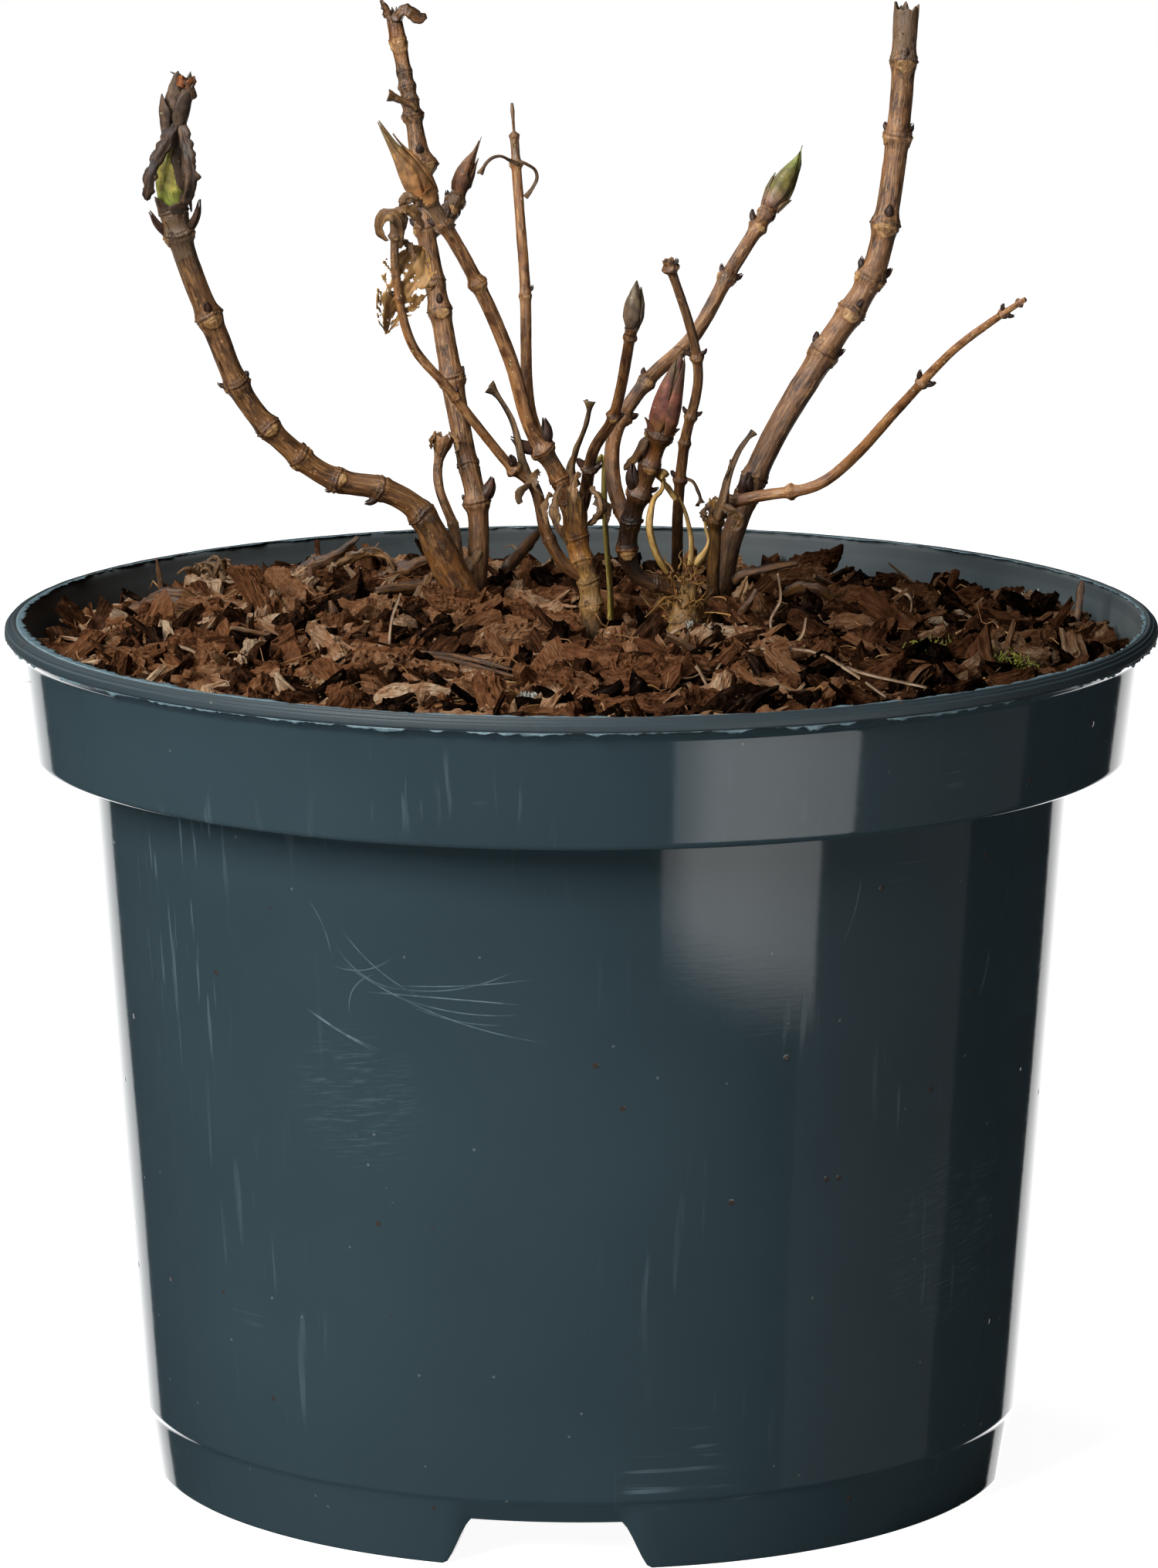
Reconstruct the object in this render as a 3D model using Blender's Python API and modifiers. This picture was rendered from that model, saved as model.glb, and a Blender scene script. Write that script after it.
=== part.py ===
"""A bare winter hydrangea standing in its collared nursery pot.

Metres, +Z up.  The origin is the centre of the pot's foot, on the surface it stands on;
+X is the plant's right and -Y its front.  Sizes are in millimetres where they are named,
and MM turns them into metres where they are used.
"""
from math import ceil, cos, pi, radians, sin

import bmesh
import bpy
from mathutils import Vector
from mathutils.geometry import interpolate_bezier

# ---------------------------------------------------------------- driving dimensions, mm
MM = 0.001
FIT = 0.3                      # clearance kept between solids that touch

RIM_R, RIM_Z = 115.0, 172.0    # outside of the rolled rim, and the pot's full height
BEAD_R = 1.5                   # the rolled rim is a bead of this radius
COLLAR_TOP_R, COLLAR_R = 112.7, 110.3
COLLAR_Z = 146.0               # underside of the collar
BODY_TOP_R, BODY_LOW_R = 99.0, 89.6
STEP_Z, STEP_IN = 14.2, 0.5    # mould line where the foot band begins, and how far it sets in
FOOT_R, FOOT_LAND = 87.2, 1.8  # outside of the foot ring, and the width it stands on
EDGE = 0.7                     # softening of the moulded corners
WALL = 1.3
PLATE_Z, PLATE_T = 12.4, 1.6   # underside and thickness of the base plate
TURN_STEPS = 64                # facets round the pot and what fills it

NOTCHES, NOTCH_TURN = 4, radians(-4.5)
NOTCH_LOW_W, NOTCH_TOP_W, NOTCH_H = 40.0, 29.5, 9.4
NOTCH_REACH, CUT_PAST = 15.0, 2.0   # half depth of a notch cutter, and how far cutters overrun
HUB_HOLE_R = 6.0
DRAINS, DRAIN_R, DRAIN_RING, DRAIN_SIDES = 8, 5.5, 62.0, 12

ROOTS_Z = 158.0                # top of the growing medium
BARK_Z, BARK_FLAT_R = 169.5, 46.0             # level middle of the bark, where the stems stand
BARK_SLOPE_Z, BARK_SLOPE_R = 168.3, 84.0      # from here it falls away to the collar
BARK_EDGE_Z = 165.8

RING_STEP = 6.0                # spacing of the rings along a limb
ROOT_FLARE, FLARE_REACH = 1.35, 7.0
PLUMB, SEAT_LEAD = 1.2, 0.7    # how far a planted stem runs plumb, and a branch square to its seat

# ---------------------------------------------------------------- limbs, mm
# joints: (across, up) at the foot, at each leaf joint where the limb turns, and at the tip
# depth:  distance behind the axis at the foot and at the tip
# girth:  radius at the foot and at the tip
# on:     what a branch grows from: that limb's tip, or a height on it and the side it leaves;
#         its first joint is then the one above the seat, because the seat is worked out
# side:   how far a branch stands to the right of the middle of that tip
# head:   radius of the knob that a stump ends in
PLANTED = {
    "stem_far_left_low": dict(joints=((-23.4, 169.8), (-28.4, 182.0), (-33.0, 190.4), (-40.2, 194.8),
                                      (-49.0, 196.8), (-55.9, 201.1)), depth=(20, 13.4), girth=(2.5, 2.2)),
    "stub_left": dict(joints=((-24.5, 169.8), (-25.6, 183.6), (-29.2, 194.5), (-28.0, 204.0)),
                      depth=(26, 31), girth=(1.0, 1.0)),
    "stem_tall_left": dict(joints=((-21.6, 169.8), (-21.1, 187.0), (-24.2, 202.0), (-28.8, 227.5),
                                   (-32.3, 248.0), (-33.0, 259.0), (-38.4, 287.6)),
                           depth=(30, 52), girth=(2.0, 1.4)),
    "stump_centre": dict(joints=((2.2, 169.8), (1.5, 178.5), (-0.8, 187.5), (-1.4, 196.5)),
                         depth=(-6, -3.4), girth=(1.7, 1.9), head=3.2),
    "crown_knob": dict(joints=((20.6, 169.8), (20.9, 173.8)), depth=(1.8, 3.2), girth=(2.4, 2.7)),
    "twig_wavy": dict(joints=((19.4, 169.8), (19.5, 191.0), (20.8, 205.0), (23.3, 217.5), (22.3, 226.5),
                              (17.2, 242.7)), depth=(22, 2), girth=(1.1, 1.0)),
    "stem_tall_right": dict(joints=((27.4, 169.8), (30.6, 184.5), (37.7, 202.0), (49.1, 221.3),
                                    (58.6, 236.7), (62.3, 253.0), (64.4, 272.0), (65.4, 290.0)),
                            depth=(20, 34), girth=(2.2, 2.3)),
    "stub_right": dict(joints=((26.4, 169.8), (26.6, 180.0), (27.0, 193.2)),
                       depth=(14, 12), girth=(1.1, 1.3)),
}
LEFT, RIGHT, BACK, BACK_LEFT = (-1, 0, 0), (1, 0, 0), (0, 1, 0), (-0.5, 0.86, 0)
BRANCHES = {
    "stem_far_left_high": dict(on=("stem_far_left_low", "tip"), joints=((-66.8, 213.0), (-73.2, 228.0),
                               (-78.6, 242.5), (-81.2, 253.0)), depth=6, girth=(2.2, 2.4)),
    "shoot_left": dict(on=("stem_tall_left", 243.6, RIGHT), joints=((-27.2, 246.6), (-24.8, 251.6)),
                       depth=51, girth=(1.2, 1.3)),
    "stem_leaning_left": dict(on=("stump_centre", "tip"), side=-1.55, joints=((-5.4, 202.0),
                              (-10.2, 210.5), (-14.3, 225.0), (-22.4, 243.5), (-30.4, 257.2)),
                              depth=-12, girth=(1.7, 1.4)),
    "twig_centre": dict(on=("stump_centre", "tip"), side=2.1, joints=((2.3, 206.0), (6.4, 213.8),
                        (9.8, 232.2)), depth=-22, girth=(1.0, 1.1)),
    "twig_arching_low": dict(on=("stump_centre", 180.3, LEFT), joints=((-3.6, 183.2), (-7.0, 189.5),
                             (-9.4, 198.6)), depth=-6, girth=(0.9, 1.1)),
    "twig_arching_high": dict(on=("twig_arching_low", "tip"), joints=((-14.3, 203.3), (-26.5, 219.8),
                              (-33.3, 228.9), (-36.2, 243.0), (-36.3, 254.0)), depth=-26, girth=(0.9, 0.9)),
    "twig_upright": dict(on=("stem_leaning_left", 206.5, BACK), joints=((-10.5, 215.4), (-11.2, 238.0),
                         (-12.3, 252.5), (-13.8, 273.2)), depth=10, girth=(1.0, 0.7)),
    "stem_red_bud_low": dict(on=None, joints=((21.6, 175.3), (16.9, 177.1), (13.1, 178.4), (10.7, 179.9)),
                             depth=(4.6, 2), girth=(1.6, 1.7)),
    "stem_red_bud_high": dict(on=("stem_red_bud_low", "tip"), joints=((9.1, 184.6), (10.0, 191.5),
                              (15.5, 208.9)), depth=-4, girth=(1.7, 1.9)),
    "stem_slant_low": dict(on=("stem_red_bud_high", 189.0, BACK_LEFT), joints=((6.5, 197.5), (6.9, 207.0)),
                           depth=12, girth=(1.2, 1.4)),
    "stem_slant_high": dict(on=("stem_slant_low", "tip"), joints=((13.1, 216.2), (22.6, 224.6),
                            (30.6, 237.5), (38.6, 249.2)), depth=40, girth=(1.4, 1.5)),
    "twig_far_right_low": dict(on=("stub_right", 191.7, RIGHT), joints=((36.0, 194.5), (46.4, 196.9),
                               (53.2, 202.2)), depth=2.6, girth=(1.2, 1.1)),
    "twig_far_right_high": dict(on=("twig_far_right_low", "tip"), joints=((62.0, 213.4), (72.4, 226.5),
                                (79.4, 233.0), (86.4, 238.6)), depth=-26, girth=(1.1, 0.55)),
}
BUDS = {
    "bud_wilted": dict(on="stem_far_left_high", joints=((-81.3, 262.0), (-80.6, 271.0), (-79.0, 280.4)),
                       depth=4, radius=4.0),
    "bud_olive": dict(on="stem_leaning_left", joints=((-34.2, 263.5), (-39.0, 271.0)),
                      depth=-14, radius=2.7),
    "bud_short": dict(on="shoot_left", joints=((-22.8, 256.0), (-21.0, 259.7)), depth=52, radius=1.9),
    "bud_brown": dict(on="twig_centre", joints=((10.3, 237.0), (10.8, 241.6)), depth=-23, radius=1.9),
    "bud_red": dict(on="stem_red_bud_high", joints=((17.4, 216.8), (19.7, 224.8)), depth=-6, radius=2.9),
    "bud_green": dict(on="stem_slant_high", joints=((41.7, 254.6), (44.5, 259.9)), depth=43, radius=2.5),
}
BUD_SHAPE = ((0.0, 0.52), (0.14, 0.84), (0.32, 1.0), (0.58, 0.78), (0.82, 0.40), (1.0, 0.07))


# ---------------------------------------------------------------- scene and materials
def clear_scene():
    for old in list(bpy.data.objects):
        bpy.data.objects.remove(old, do_unlink=True)


def new_collection(name):
    collection = bpy.data.collections.new(name)
    bpy.context.scene.collection.children.link(collection)
    return collection


def principled(name, colour, roughness):
    material = bpy.data.materials.new(name)
    material.use_nodes = True
    shader = material.node_tree.nodes["Principled BSDF"]
    shader.inputs["Base Color"].default_value = (*colour, 1.0)
    shader.inputs["Roughness"].default_value = roughness
    shader.inputs["Metallic"].default_value = 0.0
    return material


def place(name, data, material, collection):
    data.materials.append(material)
    item = bpy.data.objects.new(name, data)
    collection.objects.link(item)
    return item


# ---------------------------------------------------------------- turned pieces
def turn(name, outline, material, closed):
    """Turn an outline of (radius, height) pairs, top to bottom, about the Z axis."""
    mesh = bpy.data.meshes.new(name)
    corners = [(r * MM, 0.0, z * MM) for r, z in outline]
    edges = [(i, i + 1) for i in range(len(corners) - 1)]
    if closed:
        edges.append((len(corners) - 1, 0))
    mesh.from_pydata(corners, edges, [])
    item = place(name, mesh, material, PARTS)
    screw = item.modifiers.new("turn", "SCREW")
    screw.steps = screw.render_steps = TURN_STEPS
    screw.use_merge_vertices = True
    screw.merge_threshold = 0.00001
    return item


def body_radius(z):
    """Outside radius of the straight pot wall at height z."""
    share = (z - STEP_Z) / (COLLAR_Z - STEP_Z)
    return BODY_LOW_R + (BODY_TOP_R - BODY_LOW_R) * share


def collar_radius(z):
    """Outside radius of the collar at height z."""
    share = (z - COLLAR_Z) / (RIM_Z - 3 * BEAD_R - COLLAR_Z)
    return COLLAR_R + (COLLAR_TOP_R - COLLAR_R) * share


def bead(*degrees):
    """Points on the rolled rim, by angle from straight out."""
    return [(RIM_R - BEAD_R + BEAD_R * cos(radians(d)), RIM_Z - BEAD_R + BEAD_R * sin(radians(d)))
            for d in degrees]


def collar_outline():
    """Down the outside from the rolled rim, along the shelf's underside, and up the inside."""
    shelf_z = COLLAR_Z + WALL
    under_bead = RIM_Z - 3 * BEAD_R
    return bead(90, 45, 0, -50) + [
        (COLLAR_TOP_R, under_bead),
        (COLLAR_R, COLLAR_Z + EDGE), (COLLAR_R - EDGE, COLLAR_Z),
        (BODY_TOP_R - WALL, COLLAR_Z), (BODY_TOP_R - WALL, shelf_z),
        (collar_radius(shelf_z) - WALL, shelf_z), (COLLAR_TOP_R - WALL, under_bead),
    ] + bead(180, 135)


def body_outline():
    """Down the outside from the shelf, under the foot and the base plate, and up the inside."""
    floor_z = PLATE_Z + PLATE_T
    top_z = COLLAR_Z - FIT
    return [
        (BODY_TOP_R, top_z),
        (BODY_LOW_R, STEP_Z), (BODY_LOW_R - STEP_IN, STEP_Z - STEP_IN),
        (FOOT_R, EDGE), (FOOT_R - EDGE, 0.0),
        (FOOT_R - EDGE - FOOT_LAND, 0.0), (BODY_LOW_R - STEP_IN - FOOT_LAND, PLATE_Z),
        (HUB_HOLE_R, PLATE_Z), (HUB_HOLE_R, floor_z),
        (body_radius(floor_z) - WALL, floor_z), (BODY_TOP_R - WALL, top_z),
    ]


def cut(item, cutter):
    boolean = item.modifiers.new("cut_" + cutter.name, "BOOLEAN")
    boolean.operation = "DIFFERENCE"
    boolean.solver = "EXACT"
    boolean.object = cutter


def notch_cutters():
    """Wedges, wide at the bottom, set evenly round the foot ring."""
    widening = (NOTCH_LOW_W - NOTCH_TOP_W) / NOTCH_H
    low_half = (NOTCH_LOW_W + widening * CUT_PAST) / 2
    top_half = NOTCH_TOP_W / 2
    wedge = bmesh.new()
    bmesh.ops.create_cube(wedge, size=2.0)
    for corner in wedge.verts:
        across, out, up = corner.co
        half, height = (top_half, NOTCH_H) if up > 0 else (low_half, -CUT_PAST)
        corner.co = Vector((half * across, NOTCH_REACH * out - FOOT_R, height)) * MM
    mesh = bpy.data.meshes.new("notch")
    wedge.to_mesh(mesh)
    wedge.free()
    turns = [NOTCH_TURN + 2 * pi * i / NOTCHES for i in range(NOTCHES)]
    cutters = []
    for i, turned in enumerate(turns, start=1):
        cutter = bpy.data.objects.new(f"notch_{i}", mesh)
        cutter.rotation_euler.z = turned
        cutters.append(cutter)
    return cutters


def drain_cutters():
    """Upright plugs that pierce the base plate on a ring."""
    plug = bmesh.new()
    bmesh.ops.create_cone(plug, cap_ends=True, segments=DRAIN_SIDES, radius1=DRAIN_R * MM,
                          radius2=DRAIN_R * MM, depth=(PLATE_T + 2 * CUT_PAST) * MM)
    mesh = bpy.data.meshes.new("drain")
    plug.to_mesh(mesh)
    plug.free()
    cutters = []
    for i in range(DRAINS):
        angle = NOTCH_TURN + (2 * i + 1) * pi / DRAINS
        cutter = bpy.data.objects.new(f"drain_{i + 1}", mesh)
        centre = Vector((DRAIN_RING * cos(angle), DRAIN_RING * sin(angle), PLATE_Z + PLATE_T / 2))
        cutter.location = centre * MM
        cutters.append(cutter)
    return cutters


def build_pot():
    """The pot in two turned pieces, so that nothing spans the hollow under the collar."""
    turn("pot_collar", collar_outline(), PLASTIC, closed=True)
    body = turn("pot_body", body_outline(), PLASTIC, closed=True)
    for cutter in notch_cutters() + drain_cutters():
        CUTTERS.objects.link(cutter)
        cutter.hide_render = True
        cutter.display_type = "WIRE"
        cut(body, cutter)


def build_fill():
    """The growing medium fills the pot in two plain discs, with a layer of bark up to the collar."""
    floor_z = PLATE_Z + PLATE_T + FIT
    shelf_z = COLLAR_Z + WALL
    slack = WALL + FIT
    turn("root_ball", [
        (0.0, shelf_z), (BODY_TOP_R - slack, shelf_z),
        (body_radius(floor_z) - slack, floor_z), (0.0, floor_z),
    ], SOIL, closed=False)
    low = shelf_z + FIT
    turn("soil_in_collar", [
        (0.0, ROOTS_Z), (collar_radius(ROOTS_Z) - slack, ROOTS_Z),
        (collar_radius(low) - slack, low), (0.0, low),
    ], SOIL, closed=False)
    low = ROOTS_Z + FIT
    turn("bark_mulch", [
        (0.0, BARK_Z), (BARK_FLAT_R, BARK_Z), (BARK_SLOPE_R, BARK_SLOPE_Z),
        (collar_radius(BARK_EDGE_Z) - slack, BARK_EDGE_Z),
        (collar_radius(low) - slack, low), (0.0, low),
    ], BARK, closed=False)


# ---------------------------------------------------------------- limbs and buds
def spread_depth(joints, front, back):
    """Give each (across, up) joint its depth, which runs evenly along the limb."""
    spans = [0.0]
    for (x0, z0), (x1, z1) in zip(joints, joints[1:]):
        spans.append(spans[-1] + ((x1 - x0) ** 2 + (z1 - z0) ** 2) ** 0.5)
    return [Vector((x, front + (back - front) * s / spans[-1], z)) for (x, z), s in zip(joints, spans)]


def smooth(points, step, start=None):
    """A curve through the points: each span is a Bezier whose handles follow its neighbours."""
    last = len(points) - 1
    heading = [(points[min(i + 1, last)] - points[max(i - 1, 0)]).normalized() for i in range(last + 1)]
    if start:
        heading[0] = start
    curve = [points[0]]
    for i in range(last):
        a, b = points[i], points[i + 1]
        reach = (b - a).length / 3
        count = max(2, ceil((b - a).length / step) + 1)
        span = interpolate_bezier(a, a + heading[i] * reach, b - heading[i + 1] * reach, b, count)
        curve.extend(span[1:])
    return curve


def along(route):
    """Distance from the foot at each point of a route."""
    runs = [0.0]
    for a, b in zip(route, route[1:]):
        runs.append(runs[-1] + (b - a).length)
    return runs


def tube(name, route, radii, material):
    """A round limb along the route, with flat closed ends."""
    data = bpy.data.curves.new(name, "CURVE")
    data.dimensions = "3D"
    data.bevel_depth = max(radii) * MM
    data.bevel_resolution = 2
    data.use_fill_caps = True
    spline = data.splines.new("POLY")
    spline.points.add(len(route) - 1)
    for point, centre, radius in zip(spline.points, route, radii):
        point.co = (*(centre * MM), 1.0)
        point.radius = radius / max(radii)
    LIMBS[name] = (route, radii)
    return place(name, data, material, PARTS)


def tip_seat(parent):
    """Where a piece that goes on from a limb's tip begins, and which way it points."""
    route, _ = LIMBS[parent]
    heading = (route[-1] - route[-2]).normalized()
    return route[-1] + heading * FIT, heading


def side_seat(parent, height, side):
    """Where a branch leaves the bark of a limb at a height, square to the limb."""
    route, radii = LIMBS[parent]
    i = next(i for i in range(1, len(route)) if route[i].z >= height)
    share = (height - route[i - 1].z) / (route[i].z - route[i - 1].z)
    centre = route[i - 1].lerp(route[i], share)
    radius = radii[i - 1] + (radii[i] - radii[i - 1]) * share
    axis = (route[i] - route[i - 1]).normalized()
    side = Vector(side)
    heading = (side - axis * side.dot(axis)).normalized()
    return centre + heading * (radius + FIT), heading


def from_seat(seat, heading, joints, back, step):
    """The route of a branch: square off its seat for a moment, then through its joints."""
    lead = seat + heading * SEAT_LEAD
    points = spread_depth(((lead.x, lead.z), *joints), lead.y, back)
    return [seat] + smooth(points, step, start=heading)


def taper(route, low, high):
    runs = along(route)
    return [low + (high - low) * run / runs[-1] for run in runs]


def planted_limb(name, joints, depth, girth, head=None):
    """A limb from a flat cut on the ground: it starts plumb and flares towards the cut."""
    route = smooth(spread_depth(joints, *depth), RING_STEP)
    route.insert(1, route[0] + Vector((0, 0, PLUMB)))
    flares = [1 + (ROOT_FLARE - 1) * max(0.0, 1 - run / FLARE_REACH) for run in along(route)]
    radii = [radius * flare for radius, flare in zip(taper(route, *girth), flares)]
    if head:
        top = route[-1]
        neck = sum(point.z < top.z - 2 * head for point in route)
        route[neck:] = [top - Vector((0, 0, drop * head)) for drop in (1.6, 0.6, 0.0)]
        radii[neck:] = [girth[1], head, head]
    return tube(name, route, radii, WOOD)


def branch(name, on, joints, depth, girth, side=0.0):
    if on is None:
        route = smooth(spread_depth(joints, *depth), RING_STEP)
    else:
        seat, heading = tip_seat(on[0]) if on[1] == "tip" else side_seat(*on)
        seat = seat + Vector((side, 0, 0))
        route = from_seat(seat, heading, joints, depth, RING_STEP)
    return tube(name, route, taper(route, *girth), WOOD)


def bud(name, on, joints, depth, radius):
    """A pointed bud: the limb's own curve, swollen near its foot and drawn to a tip."""
    seat, heading = tip_seat(on)
    route = from_seat(seat, heading, joints, depth, RING_STEP / 3)
    runs = along(route)
    radii = []
    for run in runs:
        share = min(run / runs[-1], 1.0)
        (s0, w0), (s1, w1) = next(pair for pair in zip(BUD_SHAPE, BUD_SHAPE[1:]) if share <= pair[1][0])
        radii.append(radius * (w0 + (w1 - w0) * (share - s0) / (s1 - s0)))
    return tube(name, route, radii, BUD)


def build_plant():
    for name, sizes in PLANTED.items():
        planted_limb(name, **sizes)
    for name, sizes in BRANCHES.items():
        branch(name, **sizes)
    for name, sizes in BUDS.items():
        bud(name, **sizes)


clear_scene()
PARTS = new_collection("potted_hydrangea")
CUTTERS = new_collection("cutters")
PLASTIC = principled("slate_plastic", (0.045, 0.07, 0.09), 0.3)
SOIL = principled("growing_medium", (0.03, 0.02, 0.015), 0.95)
BARK = principled("bark_mulch", (0.13, 0.055, 0.03), 0.85)
WOOD = principled("stem_bark", (0.21, 0.12, 0.07), 0.75)
BUD = principled("bud_scale", (0.16, 0.11, 0.06), 0.6)
LIMBS = {}
build_pot()
build_fill()
build_plant()
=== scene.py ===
# %% [markdown]
# # A bare winter hydrangea in its nursery pot
# The plant is asleep: jointed brown stems, a few dried leaf stalks, and pointed buds that wait for
# spring.  It stands in shredded bark, in a round moulded pot with a deep collar.  The solid model
# gives the frame, and every visible surface is built here around it, in the same place and size.
# Lengths in this file are millimetres until the moment a mesh is filled, because the pieces are
# small, and +Z is up, +X is the plant's right and -Y its front.

# %% Load the solid model as the fixed frame
import math

import bpy
import numpy as np
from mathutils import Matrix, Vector


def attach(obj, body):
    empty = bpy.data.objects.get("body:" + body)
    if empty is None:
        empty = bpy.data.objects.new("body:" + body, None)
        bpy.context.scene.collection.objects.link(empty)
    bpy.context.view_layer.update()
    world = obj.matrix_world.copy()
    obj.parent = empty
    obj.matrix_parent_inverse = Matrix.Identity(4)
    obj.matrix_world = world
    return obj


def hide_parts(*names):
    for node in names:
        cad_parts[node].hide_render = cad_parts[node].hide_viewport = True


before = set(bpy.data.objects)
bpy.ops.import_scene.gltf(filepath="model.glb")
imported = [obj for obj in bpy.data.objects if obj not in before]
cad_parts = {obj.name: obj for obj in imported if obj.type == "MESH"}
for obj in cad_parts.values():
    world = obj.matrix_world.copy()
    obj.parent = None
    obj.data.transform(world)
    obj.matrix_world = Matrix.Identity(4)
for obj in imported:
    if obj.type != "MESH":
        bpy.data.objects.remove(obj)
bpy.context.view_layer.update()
MM = 0.001
pi = np.pi

# %% [markdown]
# ## Surfaces as arrays
# Nearly everything in this lesson is a skin stretched over rings: a stem is a ring carried along a
# line, a pot is a ring that grows and shrinks with height.  Blender's spin and curve tools could
# make such shapes, but plain arrays let a leaf scar, a crack or a torn edge be added to the same
# formula, so a ring is a row of an array here and a shape is a function of two parameters.


# %% Places as arrays
def xyz(x, y, z):
    """Places from their three coordinates, each a number or an array."""
    return np.stack(np.broadcast_arrays(x, y, z), -1)


def ring_at(radius, bearing, height):
    """Places round the Z axis; a bearing of 0 is the front and grows to the right."""
    return xyz(radius * np.sin(bearing), -radius * np.cos(bearing), height)


# %% From arrays to a mesh
def put_mesh(name, points, faces, material, corners=4, extra=None, marks=None, places=None, smooth=True):
    """Fill a mesh: points in mm, faces as rows of point numbers, extra triangles, values by point.

    marks holds one number for each point, and places one vector for each point, for the materials.
    """
    loops, counts = [np.asarray(faces).ravel()], [np.full(len(faces), corners)]
    if extra is not None and len(extra):
        loops.append(np.asarray(extra).ravel())
        counts.append(np.full(len(extra), 3))
    loops, counts = np.concatenate(loops).astype(np.int32), np.concatenate(counts)
    mesh = bpy.data.meshes.new(name)
    mesh.vertices.add(len(points))
    mesh.vertices.foreach_set("co", (np.asarray(points) * MM).astype(np.float32).ravel())
    mesh.loops.add(len(loops))
    mesh.loops.foreach_set("vertex_index", loops)
    mesh.polygons.add(len(counts))
    mesh.polygons.foreach_set("loop_start", np.concatenate([[0], np.cumsum(counts)[:-1]]).astype(np.int32))
    mesh.polygons.foreach_set("use_smooth", np.full(len(counts), smooth))
    mesh.update(calc_edges=True)
    for label, values in (marks or {}).items():
        layer = mesh.attributes.new(label, "FLOAT", "POINT")
        layer.data.foreach_set("value", np.asarray(values, np.float32).ravel())
    for label, values in (places or {}).items():
        layer = mesh.attributes.new(label, "FLOAT_VECTOR", "POINT")
        layer.data.foreach_set("vector", np.asarray(values, np.float32).ravel())
    mesh.materials.append(material)
    item = bpy.data.objects.new(name, mesh)
    bpy.context.scene.collection.objects.link(item)
    return item


def finish_piece(item, slot, *nodes):
    """Let a piece of the plant ride on the pot's body and stand for its nodes; slot is not used."""
    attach(item, "root")
    if nodes:
        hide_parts(*nodes)
    print(f"{item.name}: {len(item.data.polygons)} faces")
    return item


# %% Rings to faces
def skin(rings, looped=False):
    """Quads between neighbouring rings, and fans that close the two ends unless the rings loop.

    Rings run anticlockwise seen from the far end, so that the faces look outwards.
    Returns the points, the quads and the triangles of the fans.
    """
    rows, around = rings.shape[:2]
    index = np.arange(rows * around).reshape(rows, around)
    if looped:
        index = np.vstack([index, index[:1]])
    turned = np.roll(index, -1, axis=1)
    quads = np.stack([index[:-1], turned[:-1], turned[1:], index[1:]], -1).reshape(-1, 4)
    points = rings.reshape(-1, 3)
    if looped:
        return points, quads, None
    first, last = len(points), len(points) + 1
    points = np.vstack([points, rings[0].mean(0), rings[-1].mean(0)])
    low = np.stack([np.full(around, first), turned[0], index[0]], -1)
    high = np.stack([np.full(around, last), index[-1], turned[-1]], -1)
    return points, quads, np.vstack([low, high])


def with_ends(values):
    """Values for the points of rings, and for the two centre points that skin() adds."""
    flat = values.reshape(-1, *values.shape[2:])
    return np.concatenate([flat, values[0].mean(0)[None], values[-1].mean(0)[None]])


# %% Random relief
def lattice_noise(points, seed):
    """Smooth random values from -1 to 1.

    Each corner of a unit cube of space holds a random number, and a point takes the eased blend of
    the eight corners round it.
    """
    cell = np.floor(points).astype(np.int64)
    part = points - cell
    ease = part * part * (3 - 2 * part)
    total = np.zeros(points.shape[:-1])
    for corner in np.ndindex(2, 2, 2):
        corner = np.array(corner)
        key = (cell + corner) @ np.array([73856093, 19349663, 83492791]) + seed * 374761393
        key = ((key ^ (key >> 13)) * 1274126177) & 0x7FFFFFFF
        value = ((key ^ (key >> 15)) & 0xFFFF) / 32767.5 - 1
        total += np.where(corner, ease, 1 - ease).prod(-1) * value
    return total


def rough(points, size, seed, octaves=3):
    """Fractal relief: noise with bumps of that size, plus half as much at half the size, and so on."""
    points = np.asarray(points, float) / size
    total = np.zeros(points.shape[:-1])
    for k in range(octaves):
        total += lattice_noise(points * 2**k + 17.3 * k, seed + k) / 2**k
    return total


def smooth_step(low, high, values):
    """0 below low, 1 above high, and an eased slope between them."""
    share = np.clip((values - low) / (high - low), 0, 1)
    return share * share * (3 - 2 * share)


def bump_at(values, centre, width):
    """A bell that is 1 at the centre and falls to about a third one width away."""
    return np.exp(-(((values - centre) / width) ** 2))


# %% [markdown]
# ## Camera
# The picture is taken from a little above the rim with a long lens, so the pot's sides look nearly
# parallel.  A long lens far away keeps the true proportions of the stems.

# %% Camera
LENS = 172.68                                 # mm, on a 36 mm sensor along the tall side
EYE = Vector((-0.000483, -1.481664, 0.425324))
LOOK_AT = Vector((-0.00048, 0.0, 0.1374))

camera_data = bpy.data.cameras.new("camera")
camera_data.lens = LENS
camera_data.sensor_width = 36.0
camera = bpy.data.objects.new("camera", camera_data)
camera.location = EYE
camera.rotation_euler = (LOOK_AT - EYE).to_track_quat("-Z", "Y").to_euler()
bpy.context.scene.collection.objects.link(camera)
bpy.context.scene.camera = camera
bpy.context.scene.view_settings.view_transform = "Standard"
print("camera looks down", round(math.degrees(math.asin((EYE - LOOK_AT).normalized().z)), 2), "degrees")

# %% [markdown]
# ## Node trees in a few words
# Materials are node graphs.  Small helpers keep them readable: they add a node with its inputs, work
# out a sum, map a value to another span, mix two colours by a mask, and turn a height into relief.


# %% Node helpers
def add_node(tree, kind, settings=None, **inputs):
    """Add a shader node; an input is a value or the socket that feeds it, and _ stands for a space."""
    made = tree.nodes.new("ShaderNode" + kind)
    for key, value in (settings or {}).items():
        setattr(made, key, value)
    for key, value in inputs.items():
        feed(tree, made.inputs[key.replace("_", " ")], value)
    return made


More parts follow.
